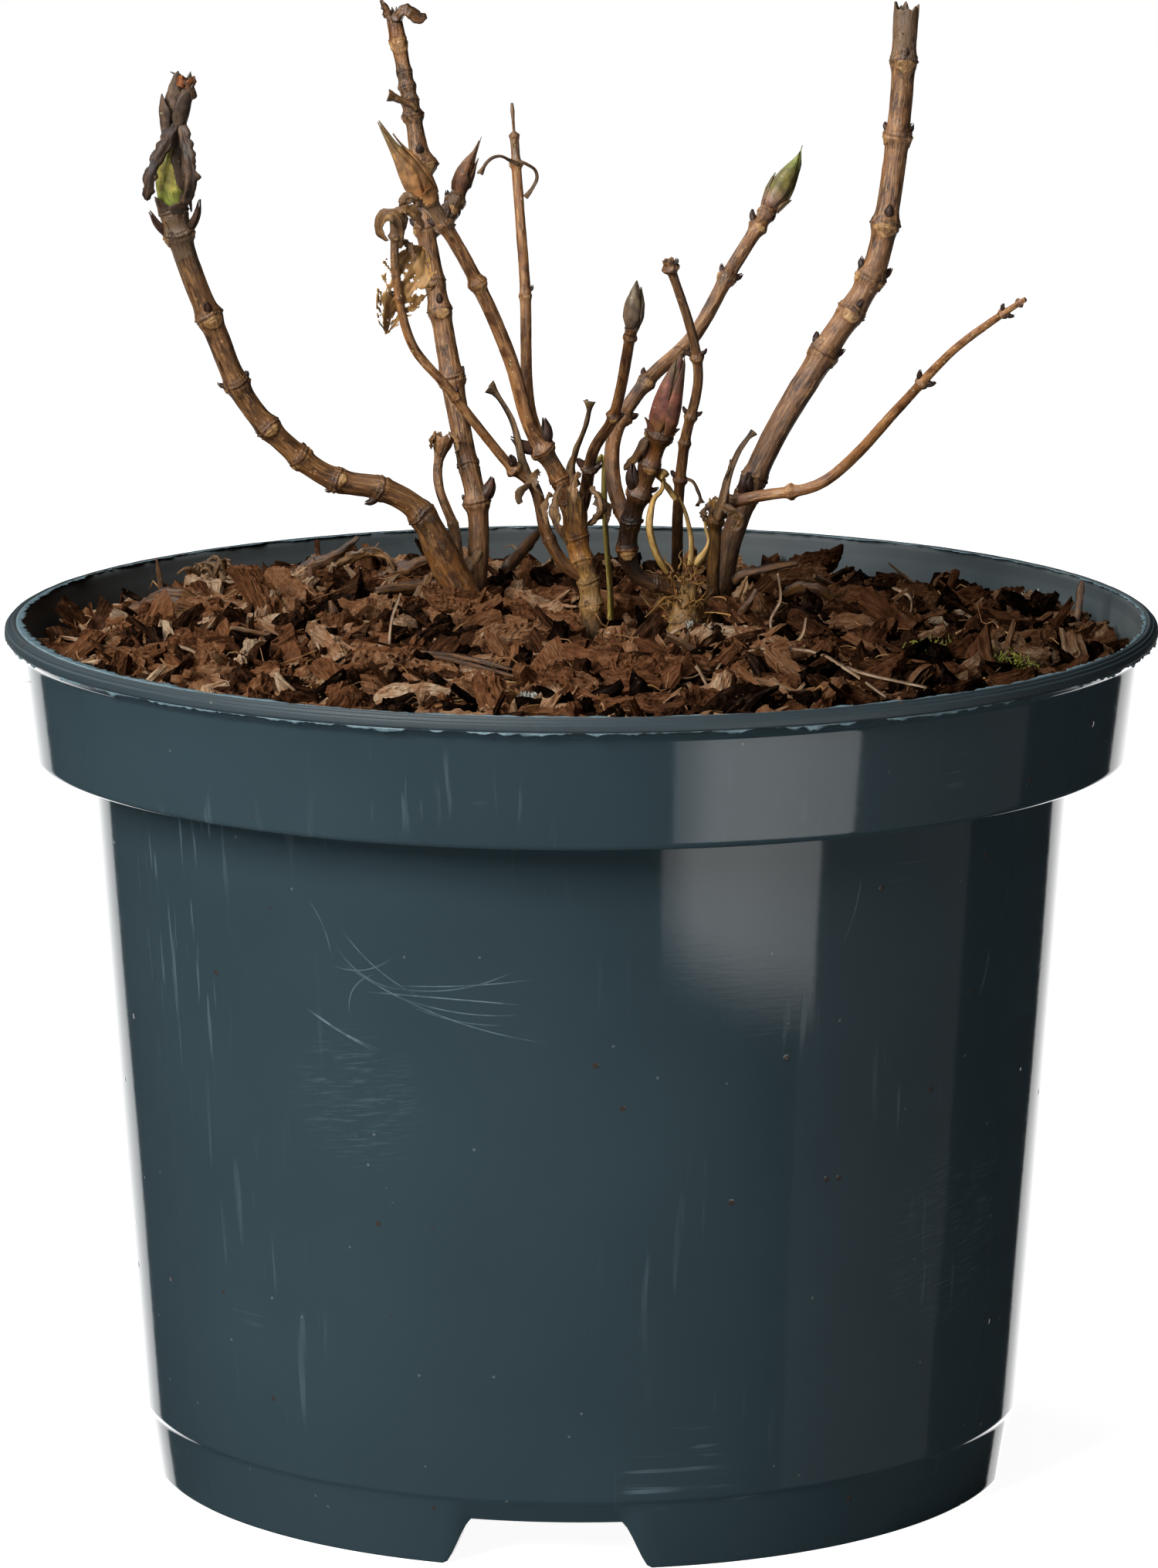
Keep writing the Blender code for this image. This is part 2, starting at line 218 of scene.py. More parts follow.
def feed(tree, socket, value):
    """Link a socket, or set its value."""
    if isinstance(value, bpy.types.NodeSocket):
        tree.links.new(value, socket)
    else:
        socket.default_value = value


def worked_out(tree, operation, *values, clamp=False):
    """One Math node, and its answer."""
    made = tree.nodes.new("ShaderNodeMath")
    made.operation, made.use_clamp = operation, clamp
    for socket, value in zip(made.inputs, values):
        feed(tree, socket, value)
    return made.outputs[0]


def times(tree, first, second):
    """One value times another."""
    return worked_out(tree, "MULTIPLY", first, second)


def plus(tree, first, second, clamp=False):
    """The sum of two values, held to 0..1 if asked."""
    return worked_out(tree, "ADD", first, second, clamp=clamp)


def minus(tree, first, second):
    """One value less another."""
    return worked_out(tree, "SUBTRACT", first, second)


def larger(tree, first, second):
    """The larger of two values."""
    return worked_out(tree, "MAXIMUM", first, second)


def between(tree, value, low, high, out_low=0.0, out_high=1.0):
    """Map a value from low..high to out_low..out_high with an eased slope, held at both ends."""
    made = add_node(tree, "MapRange", {"interpolation_type": "SMOOTHSTEP"}, Value=value)
    for name, number in (("From Min", low), ("From Max", high), ("To Min", out_low), ("To Max", out_high)):
        feed(tree, made.inputs[name], number)
    return made.outputs["Result"]


def blend(tree, mask, below, above):
    """Lay one colour over another by a mask."""
    made = tree.nodes.new("ShaderNodeMix")
    made.data_type, made.clamp_factor = "RGBA", True
    for socket, value in zip((made.inputs[0], made.inputs[6], made.inputs[7]), (mask, below, above)):
        feed(tree, socket, (*value, 1.0) if isinstance(value, tuple) and len(value) == 3 else value)
    return made.outputs[2]


def stretched(tree, place, scale):
    """Scale a place along its three axes, so that a pattern on it is drawn out."""
    return add_node(tree, "Mapping", Vector=place, Scale=scale).outputs["Vector"]


def noise(tree, place, scale, detail, rough_part, lean=0.0):
    """The value of a noise texture."""
    made = add_node(tree, "TexNoise", Vector=place, Scale=scale, Detail=detail, Roughness=rough_part,
                    Distortion=lean)
    return made.outputs["Fac"]


def attribute(tree, label, kind="Fac"):
    """The mark of that name on the mesh, or with kind Vector its place."""
    return add_node(tree, "Attribute", {"attribute_name": label}).outputs[kind]


def add_bump(tree, shader, height, strength, distance):
    """Relief from a height, at most distance metres deep."""
    bump = add_node(tree, "Bump", Strength=strength, Distance=distance, Height=height)
    feed(tree, shader.inputs["Normal"], bump.outputs["Normal"])


def new_material(name):
    """An empty material with its Principled shader."""
    material = bpy.data.materials.new(name)
    material.use_nodes = True
    return material, material.node_tree, material.node_tree.nodes["Principled BSDF"]


def srgb(red, green, blue):
    """A colour given as 0-255 screen values, as the linear light that nodes use."""
    screen = np.array([red, green, blue]) / 255
    light = np.where(screen <= 0.04045, screen / 12.92, ((screen + 0.055) / 1.055) ** 2.4)
    return tuple(float(v) for v in light)


def shade(colour, share, top=255):
    """A colour given as screen values, with each value times share and held to top."""
    return srgb(*[min(v * share, top) for v in colour])


def new_group(name, inputs, outputs):
    """A node group with named sockets: {name: (kind, default)} in, {name: kind} out."""
    tree = bpy.data.node_groups.new(name, "ShaderNodeTree")
    for label, (kind, default) in inputs.items():
        socket = tree.interface.new_socket(name=label, in_out="INPUT", socket_type="NodeSocket" + kind)
        if default is not None:
            socket.default_value = default
    for label, kind in outputs.items():
        tree.interface.new_socket(name=label, in_out="OUTPUT", socket_type="NodeSocket" + kind)
    return tree, tree.nodes.new("NodeGroupInput").outputs, tree.nodes.new("NodeGroupOutput").inputs


def use_group(tree, group, **inputs):
    """Place a node group in a material with its own values."""
    made = tree.nodes.new("ShaderNodeGroup")
    made.node_tree = group
    for key, value in inputs.items():
        feed(tree, made.inputs[key.replace("_", " ")], value)
    return made.outputs


# %% [markdown]
# ## Shared effects
# Dust and crumbs settle on everything near the ground, bark on stems and on chips is streaked along
# its grain, and dry plant skin is freckled with pale pores.  Each effect is a node group, built once
# and placed in each material with its own strength.

# %% Node group: freckles
FRECKLES, gi, go = new_group("freckles", {"Place": ("Vector", None), "Size": ("Float", 1.0),
                                          "Share": ("Float", 0.2)}, {"Mask": "Float"})
cells = add_node(FRECKLES, "TexVoronoi", Vector=gi["Place"],
                 Scale=worked_out(FRECKLES, "DIVIDE", 1.0, gi["Size"]))
chosen = add_node(FRECKLES, "SeparateColor", Color=cells.outputs["Color"]).outputs["Red"]
dot = between(FRECKLES, cells.outputs["Distance"], 0.30, 0.16)
kept = worked_out(FRECKLES, "LESS_THAN", chosen, gi["Share"])
feed(FRECKLES, go["Mask"], times(FRECKLES, dot, kept))

# %% Node group: grain
GRAIN, gi, go = new_group("grain", {"Place": ("Vector", None), "Fineness": ("Float", 1000.0)},
                          {"Streaks": "Float", "Patches": "Float", "Fibres": "Float"})
for label, squeeze, finer, detail, rough_part, lean in (
        ("Streaks", 0.12, 1.0, 5.0, 0.6, 0.0), ("Patches", 0.6, 0.22, 4.0, 0.6, 0.6),
        ("Fibres", 0.05, 3.0, 2.0, 0.7, 0.0)):
    drawn_out = stretched(GRAIN, gi["Place"], (1.0, 1.0, squeeze))
    scale = gi["Fineness"] if finer == 1.0 else times(GRAIN, gi["Fineness"], finer)
    feed(GRAIN, go[label], noise(GRAIN, drawn_out, scale, detail, rough_part, lean))
print("groups:", [g.name for g in bpy.data.node_groups])

# %% [markdown]
# ## Floor and light
# The floor is a plain pale sheet.  Gloss shows what stands round an object, so the studio has three
# cards that only reflections see: a wide one behind, whose ends draw a bright line down each side of
# the pot, a soft one at the front right, and a dim one at the right.  Each card's light is shaded
# across it, as on a cloth with a lamp behind it.  The lamps are large, so that shadows are soft.

# %% Floor
floor_material, tree, shader = new_material("pale_floor")
shader.inputs["Base Color"].default_value = (0.58, 0.58, 0.58, 1)
shader.inputs["Roughness"].default_value = 0.9
shader.inputs["Specular IOR Level"].default_value = 0.1
shader.inputs["Emission Color"].default_value = (1, 1, 1, 1)
direct = add_node(tree, "LightPath").outputs["Is Camera Ray"]
feed(tree, shader.inputs["Emission Strength"], between(tree, direct, 0.0, 1.0, 0.06, 0.95))
FLOOR_REACH = 9000.0                          # mm, from the pot to the edge of the floor
corners = FLOOR_REACH * np.array([(-1, -1, 0), (1, -1, 0), (1, 1, 0), (-1, 1, 0)])
floor = put_mesh("floor", corners, [(0, 1, 2, 3)], floor_material)
floor.visible_glossy = False
print("floor:", FLOOR_REACH / 1000, "m each way")


# %% Cards
CARD_GRID = (9, 25)                           # points up a card, and across it


def card(name, start, end, reach, low, high, strength, shading=None):
    """An upright curved card: part of a round wall, from one bearing to another.

    Bearings are in degrees to the right of the front, and shading gives the share of the light at
    each place of the card, from the X and Z of the place in metres.
    """
    turn = np.radians(np.linspace(start, end, CARD_GRID[1]))
    levels = np.linspace(low, high, CARD_GRID[0])
    wall = ring_at(reach, turn, levels[:, None])
    index = np.arange(math.prod(CARD_GRID)).reshape(CARD_GRID)
    faces = np.stack([index[:-1, :-1], index[:-1, 1:], index[1:, 1:], index[1:, :-1]], -1).reshape(-1, 4)
    material, tree, shader = new_material(name)
    tree.nodes.remove(shader)
    share = 1.0
    if shading:
        axes = add_node(tree, "SeparateXYZ", Vector=add_node(tree, "TexCoord").outputs["Object"]).outputs
        share = shading(tree, axes["X"], axes["Z"])
    light = add_node(tree, "Emission", Strength=times(tree, strength, share))
    tree.links.new(light.outputs[0], tree.nodes["Material Output"].inputs["Surface"])
    made = put_mesh(name, wall.reshape(-1, 3), faces, material)
    made.visible_camera = made.visible_diffuse = made.visible_shadow = made.visible_transmission = False
    return made


def dim_ends(tree, x, _):
    """Half the light at the two ends of the card behind, and all of it from 1.37 m inwards."""
    return between(tree, worked_out(tree, "ABSOLUTE", x), 2.45, 1.37, 0.5, 1.0)


def soft_sides(tree, x, z):
    """Light that rises from the left edge, falls a little to the right, and dies away near the foot."""
    slanted = plus(tree, z, times(tree, minus(tree, x, 0.088), 0.11))
    foot = between(tree, slanted, 0.038, 0.062)
    sides = times(tree, between(tree, x, 0.080, 0.120, 0.42, 1.0), between(tree, x, 0.150, 0.223, 1.0, 0.78))
    return times(tree, foot, sides)


back_card = card("card_behind", 143.5, 216.5, 4000, -2600, -500, 2.8, dim_ends)
side_card = card("card_front_right", 15.6, 48.0, 300, 30, 200, 2.75, soft_sides)
dim_card = card("card_right", 50.0, 97.0, 700, -300, 300, 0.16)
print("cards:", [made.name for made in (back_card, side_card, dim_card)])


# %% World and lamps
def lamp(name, bearing, rise, reach, size, power):
    """A square soft lamp that faces the plant, at a bearing to the right of the front and a rise."""
    data = bpy.data.lights.new(name, "AREA")
    data.shape, data.size, data.energy = "SQUARE", size, power
    made = bpy.data.objects.new(name, data)
    a, e = math.radians(bearing), math.radians(rise)
    aim = Vector((0, 0, 0.13))
    made.location = aim + reach * Vector((math.sin(a) * math.cos(e), -math.cos(a) * math.cos(e), math.sin(e)))
    made.rotation_euler = (aim - made.location).to_track_quat("-Z", "Y").to_euler()
    bpy.context.scene.collection.objects.link(made)
    return made


world = bpy.data.worlds.new("studio")
world.use_nodes = True
bpy.context.scene.world = world
sky = world.node_tree
ray = add_node(sky, "LightPath").outputs
ambient = sky.nodes["Background"]
ambient.inputs["Color"].default_value = (1, 1, 1, 1)
glossy_share = times(sky, ray["Is Glossy Ray"], -0.035)
seen_share = times(sky, ray["Is Camera Ray"], 0.95)
feed(sky, ambient.inputs["Strength"], plus(sky, 0.05, plus(sky, glossy_share, seen_share)))
lamp("key_left", -40, 30, 1.5, 0.7, 30)
lamp("overhead", -50, 72, 1.4, 0.8, 10)
lamp("rim_left", -140, 35, 1.6, 0.6, 4)

# %% [markdown]
# ## The pot
# A nursery pot is blown or injected in one piece: a tapering wall, a foot ring with four notches that
# let water out, a collar that lets pots stack, and a rolled lip where the mould closed.  It could be a
# spun profile, but the notches and the torn moulding flash vary round the ring, so the whole skin is
# one closed loop of profile rings whose heights and radii may depend on the bearing.

# %% The pot's sizes
RIM_R, RIM_Z, BEAD_R = 115.0, 172.0, 1.5
COLLAR_TOP_R, COLLAR_R, COLLAR_Z = 112.7, 110.3, 146.0
BODY_TOP_R, BODY_LOW_R = 99.0, 89.6
STEP_Z, STEP_IN, FOOT_R, FOOT_LAND = 14.2, 0.5, 87.2, 1.8
WALL, PLATE_Z, PLATE_T, HUB_HOLE_R = 1.3, 12.4, 1.6, 6.0
NOTCHES, NOTCH_TURN = 4, math.radians(-4.5)
NOTCH_LOW_W, NOTCH_TOP_W, NOTCH_H = 40.0, 29.5, 9.4
DRAINS, DRAIN_R, DRAIN_RING = 8, 5.5, 62.0
PLATE_EDGE_R = 82.0                           # where the pierced plate meets the wall's skin
POT_TURNS, CORNER_STEPS = 560, 5               # points round the pot, and across each rounded corner
HOLD, LONGEST_SPAN = 0.4, 12.0                # where the flat wall's points start, and how far apart they are
print("pot:", 2 * RIM_R, "mm across the rim,", RIM_Z, "mm tall, with a wall of", WALL, "mm")


# %% A rounded outline
def rounded(outline):
    """Soften an outline: each (radius, height, corner) point becomes a short arc across its corner.

    The arc is a quadratic Bezier that starts and ends one corner length before and after the point.
    """
    points = np.array([p[:2] for p in outline], float)
    reach = np.array([p[2] for p in outline], float)[:, None]
    back, ahead = np.roll(points, 1, 0) - points, np.roll(points, -1, 0) - points
    back_run, ahead_run = np.linalg.norm(back, axis=1)[:, None], np.linalg.norm(ahead, axis=1)[:, None]
    start = points + back / back_run * np.minimum(reach, back_run * 0.45)
    end = points + ahead / ahead_run * np.minimum(reach, ahead_run * 0.45)
    t = np.linspace(0, 1, CORNER_STEPS)[None, :, None]
    arcs = (1 - t) ** 2 * start[:, None] + 2 * t * (1 - t) * points[:, None] + t**2 * end[:, None]
    return arcs.reshape(-1, 2)


def filled_in(outline):
    """Add points to the long straight runs of a closed outline.

    The first and last stand only HOLD from the ends of a run, so that the smooth shading of the
    corners does not creep over the flat wall.
    """
    ahead = np.roll(outline, -1, 0)
    shares = [np.zeros(1) if run < 6 * HOLD else np.concatenate(
        [[0.0], np.linspace(HOLD / run, 1 - HOLD / run, 1 + math.ceil(run / LONGEST_SPAN))])
              for run in np.linalg.norm(ahead - outline, axis=1)]
    which = np.repeat(np.arange(len(outline)), [len(s) for s in shares])
    share = np.concatenate(shares)[:, None]
    return outline[which] * (1 - share) + ahead[which] * share


# %% The pot's profile
UNDER_BEAD = RIM_Z - 3 * BEAD_R
SHELF_Z, FLOOR_Z = COLLAR_Z + WALL, PLATE_Z + PLATE_T
profile = rounded([
    (FOOT_R, 0.0, 0.5), (BODY_LOW_R - STEP_IN, STEP_Z - 0.9, 0.5), (BODY_LOW_R, STEP_Z, 0.3),
    (BODY_TOP_R, COLLAR_Z, 0.9), (COLLAR_R, COLLAR_Z, 1.1), (COLLAR_TOP_R, UNDER_BEAD, 0.5),
    (RIM_R - 0.75, RIM_Z - 3.1, 0.35), (RIM_R, RIM_Z - 2.5, 0.3), (RIM_R - 0.12, RIM_Z - 1.15, 0.25),
    (RIM_R - 0.62, RIM_Z - 1.0, 0.12), (RIM_R - 0.78, RIM_Z - 0.42, 0.2), (RIM_R - 1.25, RIM_Z - 0.5, 0.12),
    (RIM_R - 1.5, RIM_Z, 0.25), (RIM_R - 2.1, RIM_Z - 0.05, 0.25), (RIM_R - 3.0, RIM_Z - 1.0, 0.5),
    (COLLAR_TOP_R - WALL, UNDER_BEAD, 1.0), (COLLAR_R - WALL, SHELF_Z, 1.0),
    (BODY_TOP_R - WALL, SHELF_Z, 1.0), (BODY_LOW_R - WALL, FLOOR_Z, 1.0),
    (PLATE_EDGE_R, FLOOR_Z, 0.3), (PLATE_EDGE_R, PLATE_Z, 0.3),
    (BODY_LOW_R - STEP_IN - FOOT_LAND, PLATE_Z, 1.5), (FOOT_R - FOOT_LAND, 0.0, 0.5),
])
profile = filled_in(profile)
INNER_RINGS = np.arange(len(profile)) > np.argmax(profile[:, 1])
print("pot profile:", len(profile), "rings, up to", round(profile[:, 1].max(), 1), "mm")


# %% The notches in the foot
def notch_height(bearing):
    """Height of the cut in the foot ring: flat on top, with sloping sides and rounded corners.

    The distance from the middle of the nearest notch is measured along the ring; the cut rises from
    nothing at half its lower width to its full height at half its upper width.
    """
    turn = 2 * pi / NOTCHES
    away = np.abs((bearing - NOTCH_TURN + turn / 2) % turn - turn / 2) * FOOT_R
    rise = np.clip((NOTCH_LOW_W / 2 - away) / ((NOTCH_LOW_W - NOTCH_TOP_W) / 2), 0, 1)
    return NOTCH_H * (0.55 * rise + 0.45 * smooth_step(0, 1, rise))


def pot_rings(outline, bearings):
    """Rings of the pot: the outline's radius and height at every bearing.

    Below the mould line heights are squeezed into the room above the notch; the lip waves by a few
    hundredths, as thin plastic does, and the wall is never a perfect circle.
    """
    radius = outline[:, :1] + 0 * bearings
    height = outline[:, 1:] + 0 * bearings
    lift = notch_height(bearings)[None]
    foot = np.clip(1 - height / (STEP_Z - 0.9), 0, 1) * (radius > BODY_LOW_R - 6)
    height = height + lift * foot
    round_place = xyz(np.cos(bearings) * 9, np.sin(bearings) * 9, height / 25)
    radius = radius + 0.12 * rough(round_place, 3.0, 5, 2) * smooth_step(2, 30, height)
    lip = smooth_step(RIM_Z - 4, RIM_Z - 2, height)
    height = height - 0.05 * lip * (1 + rough(round_place, 0.35, 8, 2))
    return ring_at(radius, bearings, height)


bearings = np.arange(POT_TURNS) * 2 * pi / POT_TURNS
print("notches in the foot:", NOTCHES, "up to", round(float(notch_height(bearings).max()), 1), "mm high")
POT_PLASTIC, tree, shader = new_material("slate_plastic")

# %% [markdown]
# ## Slate plastic
# The plastic is dyed right through, a dark blue grey with a satin gloss.  What makes it real is what
# happened to it: faint mould waves, upright rubs from stacking, curved scratches, pale scuffs and
# crumbs of soil.  Rubs and scratches are noise drawn out a hundred times along one direction, so they
# become lines, and each one lifts the colour a little and dulls the gloss.

# %% Node group: scratches
SCRATCHES, gi, go = new_group("scratches", {
    "Place": ("Vector", None), "Along": ("Vector", (1.0, 1.0, 0.02)), "Fineness": ("Float", 300.0),
    "Amount": ("Float", 0.5)}, {"Mask": "Float"})
drawn = add_node(SCRATCHES, "VectorMath", {"operation": "MULTIPLY"})
feed(SCRATCHES, drawn.inputs[0], gi["Place"])
feed(SCRATCHES, drawn.inputs[1], gi["Along"])
line = noise(SCRATCHES, drawn.outputs[0], gi["Fineness"], 2.0, 0.5, 0.15)
where = noise(SCRATCHES, gi["Place"], times(SCRATCHES, gi["Fineness"], 0.06), 2.0, 0.5)
thin = between(SCRATCHES, line, 0.60, 0.70)
spread = between(SCRATCHES, where, minus(SCRATCHES, 0.72, times(SCRATCHES, gi["Amount"], 0.3)), 0.78)
feed(SCRATCHES, go["Mask"], times(SCRATCHES, thin, spread))
print("groups:", [g.name for g in bpy.data.node_groups])

# %% The plastic's colour
SLATE, SLATE_LIGHT, SLATE_EDGE = (0.0195, 0.0335, 0.0405), (0.0320, 0.0530, 0.0630), (0.20, 0.28, 0.31)
DUST = srgb(112, 108, 102)
SOIL_BROWN = srgb(58, 38, 24)
place = add_node(tree, "TexCoord").outputs["Object"]
cloud = noise(tree, place, 18.0, 3.0, 0.5)
fine = noise(tree, place, 900.0, 3.0, 0.6)
upright = use_group(tree, SCRATCHES, Place=place, Along=(1.0, 1.0, 0.03), Fineness=420.0, Amount=0.55)["Mask"]
level = use_group(tree, SCRATCHES, Place=place, Along=(0.08, 0.08, 1.6), Fineness=520.0, Amount=0.25)["Mask"]
axes = add_node(tree, "SeparateXYZ", Vector=place).outputs
stacked = between(tree, worked_out(tree, "ABSOLUTE", plus(tree, axes["X"], 0.077)), 0.011, 0.004)
stacked = times(tree, stacked, between(tree, axes["Z"], 0.070, 0.135))
stacked = times(tree, stacked, between(tree, axes["Z"], 0.149, 0.144))
rubs = between(tree, noise(tree, stretched(tree, place, (1.0, 1.0, 0.003)), 640.0, 2.0, 0.5), 0.60, 0.72)
rubs = times(tree, rubs, stacked)


def distance(start, end):
    """The distance between two places, in metres."""
    away = add_node(tree, "VectorMath", {"operation": "DISTANCE"})
    feed(tree, away.inputs[0], start)
    feed(tree, away.inputs[1], end)
    return away.outputs["Value"]


def near(centre, reach):
    """1 within a ball round a place on the wall, fading to 0 at its edge."""
    return between(tree, distance(place, centre), reach, reach * 0.45)


def distance_on_front(middle):
    """How far each place is, seen from straight in front, from a middle given as (x, z) in mm."""
    return distance(seen_flat, (middle[0] / 1000, 0.0, middle[1] / 1000))


def long_scratch(start, passed, end, weight):
    """A fine arc through three places of the wall's front, each given as (x, z) in mm.

    The three places are equally far from the arc's centre, which gives two straight equations for it.
    The line is where the distance from the centre is the radius, and it fades towards both ends.
    """
    start, passed, end = (np.array(point) for point in (start, passed, end))
    chords = 2 * np.array([passed - start, end - start])
    centre = np.linalg.solve(chords, [passed @ passed - start @ start, end @ end - start @ start])
    radius = np.linalg.norm(start - centre) / 1000
    off_line = worked_out(tree, "ABSOLUTE", minus(tree, distance_on_front(centre), radius))
    half = np.linalg.norm(end - start) / 2000
    fading = between(tree, distance_on_front((start + end) / 2), half, half * 0.35, 0.0, weight)
    return times(tree, between(tree, off_line, 0.00017, 0.00004), fading)


LONG_SCRATCHES = (                            # start, a place passed and end, then how clear it is
    ((-48.1, 121.1), (-32.5, 112.9), (-4.4, 106), 0.7),
    ((-46.5, 127.6), (-39.5, 119.6), (-29.3, 113.7), 0.55),
    ((-42.6, 114.2), (-26.2, 114.2), (-9.1, 113.4), 0.9),
    ((-38.7, 116), (-26.2, 115.7), (-10.6, 121.4), 0.6), ((-36.6, 116), (-23.1, 116.8), (-8.1, 118.8), 0.65),
    ((-38.7, 115.2), (-24.7, 111.7), (-10.6, 111.7), 0.6),
    ((-34, 112.9), (-23.1, 109.8), (-13.7, 109.5), 0.45),
    ((-48.3, 119.1), (-40.3, 118.8), (-35.4, 122), 0.55), ((-43.7, 108.6), (-44, 112.9), (-38.2, 118), 0.6),
    ((-53.7, 110.4), (-46.5, 106), (-38, 102.2), 1), ((-52, 109.6), (-44.9, 105.4), (-37.7, 102.9), 0.8),
    ((-47, 123.4), (-41, 117.2), (-33, 115.2), 0.45), ((-52.6, 132), (-49, 126), (-47.5, 119.5), 0.35),
    ((49.4, 122), (51.8, 128.4), (53.3, 136.6), 0.45), ((76.7, 105.7), (78.3, 110.6), (79.1, 116.5), 0.6),
    ((66.1, 46), (66.6, 51.1), (66.8, 56.2), 0.55),
)
seen_flat = add_node(tree, "CombineXYZ", X=axes["X"], Y=0.0, Z=axes["Z"]).outputs["Vector"]
swirl = 0.0
for route in LONG_SCRATCHES:
    swirl = larger(tree, long_scratch(*route), swirl)
broken = between(tree, noise(tree, place, 260.0, 3.0, 0.6), 0.34, 0.60, 0.35, 1.0)
swirl = times(tree, times(tree, swirl, broken), between(tree, axes["Y"], 0.0, -0.02))
rubbed = plus(tree, near((-0.042, -0.083, 0.093), 0.017), near((0.073, -0.060, 0.060), 0.024), clamp=True)
slanting = add_node(tree, "CombineXYZ", X=times(tree, axes["X"], 0.07), Y=times(tree, axes["Y"], 0.07),
                    Z=minus(tree, axes["Z"], times(tree, axes["X"], 0.16))).outputs["Vector"]
brushed = between(tree, noise(tree, slanting, 2400.0, 3.0, 0.6), 0.50, 0.68, 0.0, 0.15)
swirl = larger(tree, swirl, times(tree, brushed, rubbed))
lip = between(tree, axes["Z"], 0.1680, 0.1694)
inner = attribute(tree, "inside")
crumbs = use_group(tree, FRECKLES, Place=place, Size=0.0026, Share=0.012)["Mask"]
motes = use_group(tree, FRECKLES, Place=place, Size=0.0012, Share=0.004)["Mask"]
colour = blend(tree, cloud, SLATE, SLATE_LIGHT)
colour = blend(tree, times(tree, upright, 0.16), colour, SLATE_EDGE)
colour = blend(tree, times(tree, level, 0.30), colour, SLATE_EDGE)
colour = blend(tree, times(tree, swirl, 0.62), colour, SLATE_EDGE)
colour = blend(tree, times(tree, rubs, 0.34), colour, SLATE_EDGE)
colour = blend(tree, times(tree, inner, between(tree, cloud, 0.3, 0.7, 0.10, 0.38)), colour, DUST)
# The top band of the lip is darkened towards black: a painted shade.
colour = blend(tree, times(tree, lip, 0.22), colour, (0.0, 0.0, 0.0))
colour = blend(tree, times(tree, crumbs, 0.7), colour, SOIL_BROWN)
colour = blend(tree, times(tree, motes, 0.3), colour, srgb(140, 146, 142))
feed(tree, shader.inputs["Base Color"], colour)
print("long scratches on the pot:", len(LONG_SCRATCHES))

# %% Its gloss and relief
dull = plus(tree, plus(tree, upright, level), plus(tree, swirl, crumbs), clamp=True)
gloss = plus(tree, between(tree, fine, 0.35, 0.7, 0.06, 0.10), times(tree, dull, 0.18))
gloss = plus(tree, gloss, times(tree, larger(tree, lip, inner), 0.48))
feed(tree, shader.inputs["Roughness"], gloss)
waves = noise(tree, stretched(tree, place, (1.0, 1.0, 0.35)), 26.0, 2.0, 0.4)
relief = plus(tree, times(tree, waves, 0.25), times(tree, fine, 0.003))
skin_lines = noise(tree, stretched(tree, place, (0.12, 0.12, 1.0)), 1500.0, 2.0, 0.6)
relief = plus(tree, relief, times(tree, skin_lines, 0.006))
relief = minus(tree, relief, times(tree, dull, 0.03))
relief = plus(tree, relief, times(tree, crumbs, 0.12))
add_bump(tree, shader, relief, 0.6, 0.0012)
shader.inputs["IOR"].default_value = 1.45
print("nodes in the slate plastic:", len(tree.nodes))

# %% The pot itself
pot = put_mesh("pot_shell", *skin(pot_rings(profile, bearings), looped=True)[:2], POT_PLASTIC,
               marks={"inside": np.repeat(INNER_RINGS, POT_TURNS)})
finish_piece(pot, "slate_plastic", "pot_body", "pot_collar")


# %% [markdown]
# ## Torn flash on the lip
# Where the mould's halves met, a film of plastic squeezed out and tore.  It stands on the inner edge
# of the lip and hangs in shreds under the outer edge.  Each is a thin strip with a ragged reach: the
# reach is noise cut off at zero, so the film comes and goes.


# %% A strip of torn film
def torn_film(root, lean, reach, thick, bearings):
    """A closed thin strip round the pot.

    root is its (radius, height), lean the (outward, upward) direction it takes, and reach how far it
    stands at each bearing; five rings go out along one face and back along the other, and both faces
    ripple together.
    """
    shares = np.array([0.0, 0.35, 0.7, 1.0, 1.0, 0.7, 0.35, 0.0])[:, None]
    side = np.array([-1, -1, -0.8, -0.35, 0.35, 0.8, 1, 1])[:, None] * thick / 2
    out = shares * reach
    ripple = rough(ring_at(RIM_R, bearings, 0), 3.5, 21, 2) * 0.35 * shares
    radius = root[0] + lean[0] * out + lean[1] * side + ripple * lean[1]
    height = root[1] + lean[1] * out - lean[0] * side - ripple * abs(lean[0]) * 0.6
    return ring_at(radius, bearings, height)


FILM_TURNS = 2400                             # points round the lip in each strip of film
fine_bearings = np.arange(FILM_TURNS) * 2 * pi / FILM_TURNS
ring_place = ring_at(RIM_R, fine_bearings, 0)
left_front = bump_at((fine_bearings + pi) % (2 * pi) - pi, -1.15, 0.55)
coarse, teeth = rough(ring_place, 9.0, 31, 3), rough(ring_place, 1.3, 32, 2)
inner_reach = np.clip(0.75 + 0.55 * coarse + 0.45 * teeth + 1.5 * left_front, 0.05, 3.2)
outer_reach = np.clip(0.25 + 0.45 * rough(ring_place, 6.0, 33, 3) + 0.35 * teeth, 0.03, 1.1)
inner_film = torn_film((RIM_R - 2.3, RIM_Z - 0.25), (-0.95, 0.05), inner_reach, 0.22, fine_bearings)
outer_film = torn_film((RIM_R - 0.35, RIM_Z - 2.8), (0.12, -0.98), outer_reach, 0.22, fine_bearings)
film_material, tree, shader = new_material("torn_plastic")
place = add_node(tree, "TexCoord").outputs["Object"]
pale = noise(tree, place, 700.0, 4.0, 0.6)
feed(tree, shader.inputs["Base Color"], blend(tree, pale, srgb(52, 72, 80), srgb(118, 142, 150)))
feed(tree, shader.inputs["Roughness"], between(tree, pale, 0.3, 0.7, 0.28, 0.5))
add_bump(tree, shader, pale, 0.5, 0.0004)
